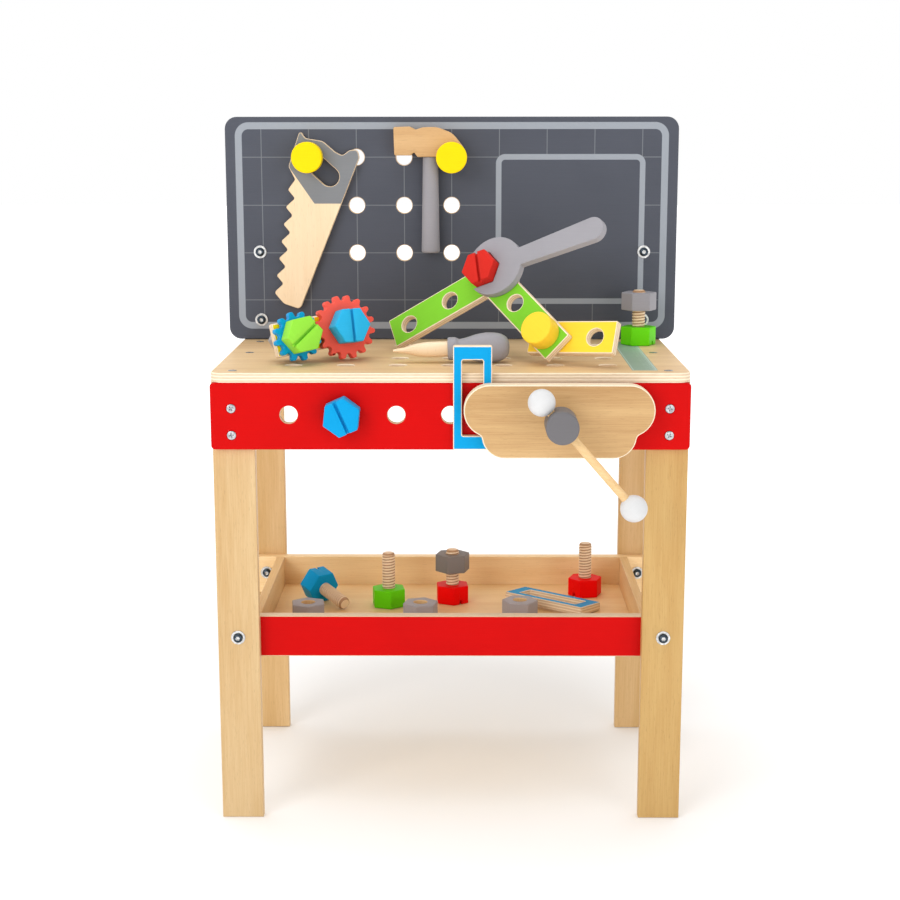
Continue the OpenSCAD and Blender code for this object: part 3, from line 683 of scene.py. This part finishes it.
def head_mesh():
    """Hexagonal head with rounded edges and a slot, cut once and shared by all the bolts."""
    rings = [[on_circle(5.0, math.radians(a), 0.0) for a in HEX_ANGLES]] + edge_rings(0.0, HEAD_T)
    verts, faces = rings_mesh(rings, close_start=True, close_end=True)
    me = mesh_from("head", [(verts, faces, 0)])
    o = bpy.data.objects.new("head_tmp", me)
    cutter = bpy.data.meshes.new("slot_tmp")
    bm = bmesh.new()
    bmesh.ops.create_cube(bm, size=1.0)
    for v in bm.verts:
        v.co = Vector((v.co.x * SLOT_W, v.co.y * 60.0, v.co.z * 2 * SLOT_D + HEAD_T)) * MM
    floor_edges = []
    for e in bm.edges:
        p, q = e.verts[0].co, e.verts[1].co
        if abs(p.z - q.z) < 1e-9 and abs(p.x - q.x) < 1e-9 and p.z < HEAD_T * MM:
            floor_edges.append(e)
    bmesh.ops.bevel(bm, geom=floor_edges, offset=0.4 * MM, segments=2, affect="EDGES")
    bm.to_mesh(cutter)
    bm.free()
    c = bpy.data.objects.new("slot_cutter", cutter)
    for x in (o, c):
        bpy.context.scene.collection.objects.link(x)
    mod = o.modifiers.new("slot", "BOOLEAN")
    mod.operation = "DIFFERENCE"
    mod.solver = "EXACT"
    mod.object = c
    b = o.modifiers.new("edges", "BEVEL")
    b.width = 0.45 * MM
    b.segments = 2
    b.limit_method = "ANGLE"
    b.angle_limit = math.radians(50)
    b.use_clamp_overlap = False
    deps = bpy.context.evaluated_depsgraph_get()
    done = bpy.data.meshes.new_from_object(o.evaluated_get(deps))
    verts = [tuple(v.co) for v in done.vertices]
    faces = [tuple(p.vertices) for p in done.polygons]
    for x in (o, c):
        bpy.data.objects.remove(x)
    return verts, faces


HEAD = head_mesh()
SHANK = shank(-THREAD_L, 0.4)


def bolt(node, matrix, color):
    """A bolt in the frame of its CAD twin: head above the origin, thread below, a corner along +X."""
    me = mesh_from(node, [(*HEAD, 0), (*SHANK, 1)], 38.0)
    materials = [paint(node + "_paint", color), threaded_wood(node + "_thread")]
    new_piece(node + "_wood", me, matrix, materials, BODY_OF[node], [node])


def nut_part():
    """Hexagonal nut from 0 down with a threaded bore: its outside and its bore."""
    z0, z1 = -NUT_T, 0.0
    mouth_r, step_in, thread_depth = 7.6, 0.3, 0.15
    bore = []
    count = int(NUT_T / THREAD_PITCH * 9)
    for i in range(count + 1):
        z = z1 - (z1 - z0) * i / count
        ring = []
        for a in HEX_ANGLES:
            w = math.radians(a)
            end = min(1.0, (z - z0) / 1.2, (z1 - z) / 1.2)
            phase = (z / THREAD_PITCH - w / (2 * math.pi) + 0.5) % 1.0
            bump = 0.5 + 0.5 * math.cos(2 * math.pi * phase)
            r = mouth_r - step_in * max(0.0, end) - thread_depth * bump * max(0.0, end)
            ring.append(on_circle(r, w, z))
        bore.append(ring)
    return rings_mesh([bore[-1]] + edge_rings(z0, z1) + [bore[0]]), rings_mesh(bore)


NUT = nut_part()


def moved(v, m):
    return [tuple(m @ Vector(p)) for p in v]


def nuts(node, matrices, color=GREY):
    """One or more nuts that are one CAD node."""
    parts = []
    base = matrices[0]
    for m in matrices:
        for index, (v, f) in enumerate(NUT):
            parts.append((moved(v, base.inverted() @ m), f, index))
    me = mesh_from(node, parts, 38.0)
    materials = [paint(node + "_paint", color), wood(node + "_bore", IDENTITY, "Z")]
    new_piece(node + "_wood", me, base, materials, BODY_OF[node], [node])


def standing(x, y, z, degrees):
    """Bolt frame with its head on the ground: the frame's Z points down."""
    return placed(x, y, z + HEAD_T) @ turn("X", 180) @ turn("Z", degrees)


def nut_on_ground(x, y, z, degrees):
    return placed(x, y, z + NUT_T) @ turn("Z", degrees)


def nut_on_bolt(x, y, z, drop, degrees):
    """A nut on a standing bolt, its top drop below the end of the thread."""
    return nut_on_ground(x, y, z + HEAD_T + THREAD_L - NUT_T - drop, degrees)


# ---- Bolts and nuts ----

WORKTOP_TOP = WORKTOP_Z + REST_GAP
TRAY_TOP = FLOOR_Z + REST_GAP
TOP_BOLT = (201.4, 217.0, WORKTOP_TOP)
RED_LEFT = (1.0, 186.0, TRAY_TOP)
LIE_TILT = math.degrees(math.atan((HEX_AF / 2 - 7.0) / THREAD_L))
LIE_Z = TRAY_TOP + HEX_AF / 2 * math.cos(math.radians(LIE_TILT))
STRIP_GEAR = GEARS @ turn("Z", GEAR_ROLL)

bolt("gear_bolt_green", GEARS @ shift(0, 0, PLY_T) @ turn("Z", -51), GEAR_BOLT_GREEN_LIT)
bolt("gear_bolt_blue", STRIP_GEAR @ shift(PITCH, 0, PLY_T) @ turn("Z", -6), GEAR_BOLT_BLUE_LIT)
bolt("strip_bolt_red", STAND @ turn("Z", SPANNER_ROLL), STRIP_BOLT_RED)
bolt("worktop_bolt", standing(*TOP_BOLT, -62), BOLT_GREEN)
bolt("apron_bolt", placed(-2 * PITCH, -REST_GAP, HOLE_Z) @ turn("X", 90) @ turn("Z", 24), BLUE)
bolt("tray_bolt_blue",
     placed(-138.5, 179.5, LIE_Z) @ turn("Z", -50) @ turn("Y", LIE_TILT - 90) @ turn("Z", 90), BLUE)
bolt("tray_bolt_green", standing(-67.9, 171, TRAY_TOP, 81), BOLT_GREEN)
bolt("tray_bolt_red_left", standing(*RED_LEFT, -35), TRAY_RED_LIT)
bolt("tray_bolt_red_right", standing(147.6, 214.5, TRAY_TOP, 50), TRAY_RED_LIT)

nuts("gear_nuts", [STRIP_GEAR @ shift(i * PITCH, 0, -PLY_T) @ turn("Z", -GEAR_ROLL) for i in (0, 1)])
nuts("strip_nut", [STAND @ shift(0, 0, -2 * PLY_T - 2 * REST_GAP) @ turn("Z", SPANNER_ROLL)])
nuts("worktop_nut", [nut_on_bolt(*TOP_BOLT, 2.2, 2)])
nuts("apron_nut", [placed(-2 * PITCH, 10 + REST_GAP, HOLE_Z) @ turn("X", 90) @ turn("Z", 24)])
nuts("tray_bolt_nut", [nut_on_bolt(*RED_LEFT, 4.5, 14)], NUT_DARK)
nuts("loose_nut_left", [nut_on_ground(-150.3, 116, TRAY_TOP, -23)], NUT_PALE)
nuts("loose_nut_middle", [nut_on_ground(-32.3, 117, TRAY_TOP, 17)], NUT_PALE)
nuts("loose_nut_right", [nut_on_ground(72.6, 126, TRAY_TOP, -5)], NUT_PALE)

# ---- Turned pieces ----

def turned(node, matrix, profile, material, steps=96, sharp=35.0):
    me = mesh_from(node, [(*rings_mesh(lathe(profile, steps), True, True), 0)], sharp)
    new_piece(node + "_turned", me, matrix, [material], BODY_OF[node], [node])


DRIVER = placed(-3, 72, WORKTOP_Z + 13.9) @ turn("Y", -2) @ turn("Y", 90)
DRIVER_PROFILE = [(9.4, 0.0), (10.8, 0.35), (11.3, 1.4)] + smooth_profile([
    (11.4, 2.4), (11.4, 6.8), (11.0, 8.6), (9.7, 11.2), (9.6, 13.6), (11.0, 20.0), (13.6, 29.0), (14.8, 37.0),
    (14.9, 42.0), (14.3, 49.0), (12.6, 54.5), (9.6, 58.8), (5.2, 61.0), (0.4, 61.5)])
turned("screwdriver_handle", DRIVER, DRIVER_PROFILE, paint("screwdriver_paint", GREY))


def blade_rings():
    """Round wooden shaft that flattens to a blade tip; s runs from 0 at the tip to 1 at the handle."""
    length, shaft_r, tip_r, least_wide = 54.0, 7.6, 2.2, 4.4
    rings = []
    n = 64
    for k in range(41):
        s = k / 40
        r = tip_r + 5.4 * min(1.0, (s / 0.62)) ** 0.8 if s < 0.62 else shaft_r
        wide = max(r, least_wide if s < 0.3 else r)
        flat = min(1.0, 0.30 + 0.70 * (s / 0.4)) if s < 0.4 else 1.0
        thin = 0.5 + 0.5 * min(1.0, s / 0.25 + 0.35) if s < 0.2 else 1.0
        x = (length * s - length) * MM
        angles = [2 * math.pi * j / n for j in range(n)]
        rings.append([(wide * MM * math.cos(a) * flat, wide * MM * math.sin(a) * thin, x) for a in angles])
    return rings


shaft_mesh = mesh_from("shaft", [(*rings_mesh(blade_rings(), True, True), 0)], 45.0)
shaft_wood = wood("screwdriver_wood", DRIVER, "Z", PALE_LIGHT, PALE_DARK)
new_piece("screwdriver_shaft_turned", shaft_mesh, DRIVER, [shaft_wood], "screwdriver",
          ["screwdriver_shaft"])

HAMMER = placed(-22.8, PANEL_BACK_Y - 10 - REST_GAP, 551)
HAMMER_PROFILE = [(7.4, 0.0), (8.9, 0.35), (9.7, 1.3)]
HAMMER_PROFILE += smooth_profile([(9.9, 2.6), (9.6, 20.0), (9.2, 45.0), (8.7, 75.0), (8.3, 98.0),
                                  (8.2, 102.3)])
HAMMER_PROFILE += [(6.0, 102.5), (6.0, 117.0)]
turned("hammer_handle", HAMMER, HAMMER_PROFILE, paint("hammer_paint", GREY))

BAR_ANGLE = -49.0
BAR = placed(VISE_X, -59, HOLE_Z) @ turn("Y", 90 - BAR_ANGLE)
BALL_R = 12.8
KNOB_R = 15.4
BAR_END = 103.6


def ball_rings(z, n=40):
    """A ball at height z; its poles are tiny rings, so that every ring has the same number of points."""
    angles = [math.pi * k / n for k in range(n + 1)]
    return lathe([(max(BALL_R * math.sin(w), 0.02), z - BALL_R * math.cos(w)) for w in angles], 72)


ball_parts = [(*rings_mesh(ball_rings(z), True, True), 0) for z in (-(KNOB_R + BALL_R + 0.3), BAR_END)]
new_piece("bar_balls_turned", mesh_from("balls", ball_parts, 60.0), BAR, [paint("ball_paint", WHITE)],
          "bar", ["bar_balls"])

# The vise screw with its thread, between the knob and its free end
KNOB = placed(VISE_X, -42, HOLE_Z) @ turn("X", 90)
screw_rings = lathe([(6.4, -102.0)], 48) + thread_rings(-101.0, 0.0, 7.5, 6.5, 48, 9)
screw_mesh = mesh_from("vise_screw", [(*rings_mesh(screw_rings, True, True), 0)], 45.0)
new_piece("vise_screw_turned", screw_mesh, KNOB, [threaded_wood("screw_wood", 6.3, 7.5)],
          "screw", ["vise_screw"])

# ---- Boards and plates, from the outlines of their CAD nodes ----

FACE_FRONT = turn("X", 90)
FACE_SIDE = turn("Y", 90)
# Wood of the legs; the front right leg's darker copy is painted shade, and the back legs take a tone between
# left and right
LEG_TONES_AND_SHADE = {"leg_front_left": (LEG_LEFT_LIGHT, LEG_LEFT_DARK),
             "leg_front_right": (LEG_RIGHT_SHADED_LIGHT, LEG_RIGHT_SHADED_DARK),
             "leg_back_left": (LEG_BACK_LIGHT, LEG_BACK_DARK),
             "leg_back_right": (LEG_BACK_LIGHT, LEG_BACK_DARK)}
for n, (light, dark) in LEG_TONES_AND_SHADE.items():
    plate(n, FACE_FRONT, wood(n, IDENTITY, "Z", light, dark), 1.2)
plate("back_rail", FACE_FRONT, wood("back_rail", IDENTITY, "X"), 1.0)
plate("tray_back", FACE_FRONT, wood("tray_back", IDENTITY, "X", TRAY_LIGHT, TRAY_DARK), 1.0)
for n in ("side_rail_left", "side_rail_right", "tray_side_left", "tray_side_right"):
    plate(n, FACE_SIDE, wood(n, IDENTITY, "Y"), 0.8)
plate("vise_nut_block", FACE_FRONT, wood("nut_block", IDENTITY, "X"), 1.0)
plate("worktop", IDENTITY, ply_board("worktop", placed(0, 0, 445), light=WOOD_LIGHT, dark=PLY_DARK,
                                     printed=ruler_print, gloss=0.5), 0.9)
plate("tray_floor", IDENTITY, ply_board("tray_floor", placed(0, 0, 171), light=TRAY_LIGHT, dark=TRAY_DARK),
      0.3)


def apron_paint(x, y, _):
    """Paint covers the front and the outer edges, not the walls of the holes."""
    gx = (((x / PITCH).fract() - 0.5).abs() - 0.5).abs() * PITCH
    gz = (y - HOLE_Z).abs()
    off_holes = (gx * gx + gz * gz).sqrt().ramp(HOLE_R + 0.1, HOLE_R + 0.5)
    return off_holes.max(x.abs().over(190.0))


plate("front_apron", FACE_FRONT, ply_board("front_apron", FACE_FRONT, RED, edge_paint=apron_paint), 1.4)
plate("tray_front", FACE_FRONT, ply_board("tray_front", FACE_FRONT, RED, both=False), 0.9)


def panel_edges(x, y, where):
    """Dark on the front and all round the rim, plain inside the holes and on the back."""
    near_edge = rounded_box(x, y, 0.0, 575.7, 245.5, 120.5, 13.0).over(-2.0)
    return where.max(near_edge)


plate("back_panel", FACE_FRONT, ply_board("back_panel", FACE_FRONT, CHARCOAL, both=False,
                                          printed=panel_print, edge_paint=panel_edges), 0.8)
plate("vise_jaw", FACE_FRONT, ply_board("vise_jaw", FACE_FRONT, light=JAW_LIGHT, dark=JAW_DARK), 1.4)


def handle_side(x, y, where):
    """The grey paint of the saw's handle ends on a bent line."""
    left = (x + 170.0) * 27.3 + (y - 634.4) * 18.9
    bottom = y - 603.7
    side = left.ramp(-6.0, 6.0) * bottom.ramp(-0.3, 0.3)
    return where * side


plate("saw", FACE_FRONT, ply_board("saw", FACE_FRONT, GREY_SAW, grain="Y", light=PALE_LIGHT, dark=PALE_DARK,
                                   edge_paint=handle_side), 0.8)
plate("hammer_head", FACE_FRONT, wood("hammer_head", IDENTITY, "X", HAMMER_LIGHT, HAMMER_DARK), 1.3)
plate("clamped_frame", FACE_FRONT, ply_board("clamped_frame", FACE_FRONT, BLUE, both=False), 1.1)
TRAY_FRAME = placed(109, 167.5, TRAY_TOP + 1.2) @ turn("Z", -128) @ turn("Y", -3.5)
plate("tray_frame", TRAY_FRAME, ply_board("tray_frame", TRAY_FRAME, BLUE, both=False), 1.1)

STRIP_FRONT = STAND @ turn("Z", FRONT_STRIP)
STRIP_BACK = STAND @ turn("Z", BACK_STRIP)
STRIP_YELLOW = STAND @ turn("Z", YELLOW_STRIP)
plate("green_strip_front", STRIP_FRONT, ply_board("green_strip_front", STRIP_FRONT, STRIP_GREEN), 1.5)
plate("green_strip_back", STRIP_BACK, ply_board("green_strip_back", STRIP_BACK, STRIP_GREEN), 1.5)
plate("yellow_strip", STRIP_YELLOW, ply_board("yellow_strip", STRIP_YELLOW, STRIP_YELLOW_PAINT), 1.5)
plate("gear_strip", STRIP_GEAR, ply_board("gear_strip", STRIP_GEAR, YELLOW), 1.5)
plate("spanner", STAND @ turn("Z", SPANNER_ROLL), paint("spanner_paint", GREY, STAND), 1.0)
plate("gear_blue", STRIP_GEAR, paint("gear_blue_paint", BLUE, STRIP_GEAR), 0.55)
plate("gear_red", STRIP_GEAR, paint("gear_red_paint", GEAR_RED, STRIP_GEAR), 0.55)


def round_rod(node, m, r, z0, z1, material, edge=0.5):
    """A plain rod along Z of m with rounded ends."""
    prof = [(r - edge, z0), (r - edge * 0.3, z0 + edge * 0.3), (r, z0 + edge),
            (r, z1 - edge), (r - edge * 0.3, z1 - edge * 0.3), (r - edge, z1)]
    turned(node, m, prof, material, 64)


PEG_PROFILE = [(7.0, -31.0), (7.6, -30.7), (7.8, -30.0), (7.8, 0.0), (15.7, 0.0), (16.3, 0.25), (16.5, 0.8),
               (16.5, 17.7), (16.4, 18.25), (16.05, 18.7), (15.5, 18.95), (14.9, 19.0)]
PEGS = {"panel_peg_left": (placed(-3 * PITCH, PANEL_BACK_Y - 12, PANEL_ROWS[2]) @ turn("X", 90), YELLOW),
        "panel_peg_right": (placed(0, PANEL_BACK_Y - 9 - 12, PANEL_ROWS[2]) @ turn("X", 90), YELLOW),
        "strip_peg": (STRIP_FRONT @ shift(2 * PITCH, 0, 0), STRIP_YELLOW_PAINT)}
for n, (m, color) in PEGS.items():
    turned(n, m, PEG_PROFILE, paint(n + "_paint", color), 96, 50.0)

KNOB_PROFILE = [(14.2, 0.0), (15.1, 0.3), (KNOB_R, 1.2), (KNOB_R, 32.0), (15.3, 32.8), (14.9, 33.5),
                (14.2, 33.9), (13.2, 34.0)]
turned("vise_knob", KNOB, KNOB_PROFILE, paint("knob_paint", GREY_DARK), 96, 50.0)
round_rod("tommy_bar", BAR, 4.0, -28.0, 103.0, wood("bar_wood", BAR, "Z"))
guide_parts = []
for side in (-1, 1):
    gm = placed(VISE_X + side * PITCH, -19.4, HOLE_Z) @ turn("X", -90)
    gv, gf = rings_mesh(lathe([(7.0, 0.0), (7.8, 0.8), (7.8, 66.6), (7.0, 67.4)], 64), True, True)
    guide_parts.append((moved(gv, gm), gf, 0))
new_piece("vise_guides_turned", mesh_from("guides", guide_parts, 40.0), IDENTITY,
          [wood("guide_wood", IDENTITY, "Y")], "jaw", ["vise_guides"])

# ---- Steel hardware ----

STEEL = steel("zinc", (0.33, 0.33, 0.35), (0.58, 0.58, 0.60))
STEEL_BRIGHT = steel("zinc_bright", (0.48, 0.48, 0.48), (0.80, 0.80, 0.79))
STEEL_DARK = steel("zinc_dark", (0.03, 0.045, 0.06), (0.075, 0.095, 0.12))


def shaped_ring(r_of, z, steps=48):
    """A ring whose radius depends on the angle."""
    return [on_circle(r_of(2 * math.pi * i / steps), 2 * math.pi * i / steps, z) for i in range(steps)]


def hexagon(flat_r):
    return lambda a: flat_r / math.cos((a % (math.pi / 3)) - math.pi / 6)


def cross(arm, half):
    """Outline of a plus sign with pointed valleys."""
    def r(a):
        b = abs((a % (math.pi / 2)) - math.pi / 4)
        b = math.pi / 4 - b
        return min(arm / math.cos(b), max(half / max(math.sin(b), 0.05), half * 1.25))
    return r


def socket_bolt():
    """Button head, washer level and shank; the socket is its own part, for its brighter floor."""
    rings = lathe([(2.4, -18.0), (2.5, 0.0), (2.5, 1.0), (4.5, 1.0), (4.8, 1.25), (4.8, 2.0), (4.6, 2.9),
                   (4.1, 3.7), (3.4, 4.25), (2.9, 4.45), (2.75, 4.5)], 48)
    mouth = shaped_ring(hexagon(1.95), 4.4)
    recess = [mouth, shaped_ring(hexagon(1.9), 4.2), shaped_ring(hexagon(1.9), 1.9)]
    return [rings_mesh(rings + [mouth], True, False), rings_mesh(recess, False, True)]


def tube(profile):
    """A closed turned body with a hole: the last ring joins the first."""
    v, f = rings_mesh(lathe(profile, 48))
    last = (len(profile) - 1) * 48
    f += [(last + j, last + (j + 1) % 48, (j + 1) % 48, j) for j in range(48)]
    return [(v, f)]


def cross_screw():
    """A countersunk screw with a cross recess."""
    rings = lathe([(1.6, -19.0), (2.0, -3.0), (4.1, -0.15), (4.2, 0.0), (3.9, 0.12), (3.2, 0.18),
                   (2.9, 0.15)], 48)
    for arm, half, z in ((2.4, 0.5, 0.1), (2.3, 0.45, -0.1), (1.2, 0.35, -1.4)):
        rings.append(shaped_ring(cross(arm, half), z))
    return [rings_mesh(rings, True, True)]


def hardware(node, shapes, matrices, materials):
    """Copies of a steel part as one piece; each shape takes the material of its own number."""
    parts = [(moved(v, m), f, i) for m in matrices for i, (v, f) in enumerate(shapes)]
    me = mesh_from(node, parts, 35.0)
    new_piece(node + "_steel", me, IDENTITY, materials, "bench", [node])


WASHER = [(2.55, 0.0), (6.8, 0.0), (7.0, 0.2), (7.0, 0.8), (6.8, 1.0), (2.55, 1.0)]
INSERT = [(2.55, 0.0), (4.0, 0.0), (4.0, 10.0), (2.55, 10.0)]

# x, y, z of the washer's seat, and the thickness of the board under it
places = []
for side in (-1, 1):
    x = side * FASTENER_X
    places += [(x, 10.0, 189.0, 12.0), (x, 256.0, 189.0, 12.0), (x, PANEL_BACK_Y, 551.0, PLY_T),
               (x, PANEL_BACK_Y, 476.5, PLY_T)]
seats = [placed(x, y, z) @ FACE_FRONT for x, y, z, t in places]
hardware("frame_bolts", socket_bolt(), [m @ turn("Z", 17 * i) for i, m in enumerate(seats)],
         [STEEL_DARK, STEEL_BRIGHT])
hardware("frame_washers", tube(WASHER), seats, [STEEL_BRIGHT])
inserts = [placed(x, y + t, z) @ turn("X", -90) for x, y, z, t in places]
hardware("insert_nuts", tube(INSERT), inserts, [STEEL])
screws = [placed(side * FASTENER_X, y, WORKTOP_Z) @ turn("Z", 31 * side + y)
          for side in (-1, 1) for y in (18.0, 150.0, 242.0)]
screws += [placed(side * FASTENER_X, 0, z) @ FACE_FRONT @ turn("Z", 23 * side + z)
           for side in (-1, 1) for z in (420.0, 394.0)]
hardware("wood_screws", cross_screw(), screws, [STEEL])

# ---- Room, light and camera ----

FLOOR_HALF = 14.0
FLOOR_LEVEL = -0.0004
floor_mesh = bpy.data.meshes.new("studio_floor")
corners = [(x * FLOOR_HALF, y * FLOOR_HALF, FLOOR_LEVEL) for x, y in ((-1, -1), (1, -1), (1, 1), (-1, 1))]
floor_mesh.from_pydata(corners, [], [(0, 1, 2, 3)])
floor = bpy.data.objects.new("studio_floor", floor_mesh)
bpy.context.scene.collection.objects.link(floor)
ft = Tree("studio_white")
fx, fy, _ = ft.local(IDENTITY)
soft = ft.noise(fx / 900.0, fy / 900.0, 0.0, 1.0)
behind = fy - 250.0
distance = (fx * fx + behind * behind).sqrt() / 1000.0
pale = ft.mix(soft, (0.79, 0.79, 0.79), (0.80, 0.80, 0.80))
ft.finish(pale, 0.9, Emission_Color=(1.0, 1.0, 1.0, 1.0))
# Painted shadow: the floor glows less near the bench, which paints a soft shadow under it, and more further
# out, up to an even white floor
glow = distance.ramp(0.10, 0.40) * 0.24 + distance.ramp(0.40, 1.6) * 0.40
ft.feed(ft.bsdf.inputs["Emission Strength"], glow)
floor_mesh.materials.append(ft.mat)

# White all round at the height of the horizon; higher up, darker towards the front
world = bpy.data.worlds.new("studio")
bpy.context.scene.world = world
world.use_nodes = True
wn = world.node_tree
toward = wn.nodes.new("ShaderNodeTexCoord")
split = wn.nodes.new("ShaderNodeSeparateXYZ")
wn.links.new(toward.outputs["Generated"], split.inputs[0])


def smooth_range(source, values):
    """A smooth step of a world direction: from low, from high, to low, to high."""
    n = wn.nodes.new("ShaderNodeMapRange")
    n.interpolation_type = "SMOOTHSTEP"
    for key, value in zip(("From Min", "From Max", "To Min", "To Max"), values):
        n.inputs[key].default_value = value
    wn.links.new(split.outputs[source], n.inputs["Value"])
    return n


sweep = smooth_range("Y", (-0.5, 0.35, -0.58, 0.0))
rise = smooth_range("Z", (0.10, 0.30, 0.0, 1.0))
wn.nodes["Background"].inputs[0].default_value = (1.0, 1.0, 1.0, 1.0)
level = wn.nodes.new("ShaderNodeMath")
level.operation = "MULTIPLY_ADD"
level.inputs[2].default_value = 1.0
wn.links.new(sweep.outputs[0], level.inputs[0])
wn.links.new(rise.outputs[0], level.inputs[1])
wn.links.new(level.outputs[0], wn.nodes["Background"].inputs[1])


def area(name, place, target, size, power):
    light = bpy.data.lights.new(name, "AREA")
    light.shape = "RECTANGLE"
    light.size, light.size_y = size
    light.energy = power
    o = bpy.data.objects.new(name, light)
    bpy.context.scene.collection.objects.link(o)
    o.location = place
    o.rotation_euler = (Vector(target) - Vector(place)).to_track_quat("-Z", "Y").to_euler()


area("key", (-1.6, -2.4, 1.6), (0, 0, 0.35), (1.5, 1.5), 32)
area("fill", (1.7, -2.6, 0.9), (0, 0, 0.25), (1.6, 1.2), 15.5)
area("top", (-0.2, -0.1, 2.8), (0, 0, 0.3), (2.2, 1.8), 26)

CAMERA_AT = (0.0108, -1.6592, 0.680)
CAMERA_DOWN, CAMERA_TILT, CAMERA_LEFT = 10.907, 0.042, 0.398
cam = bpy.data.cameras.new("camera")
cam.sensor_width = 36.0
cam.lens = 66.03
camera = bpy.data.objects.new("camera", cam)
bpy.context.scene.collection.objects.link(camera)
camera.location = CAMERA_AT
camera.rotation_euler = [math.radians(a) for a in (90 - CAMERA_DOWN, CAMERA_TILT, CAMERA_LEFT)]
bpy.context.scene.camera = camera
bpy.context.scene.view_settings.view_transform = "Standard"
bpy.context.scene.view_settings.look = "None"
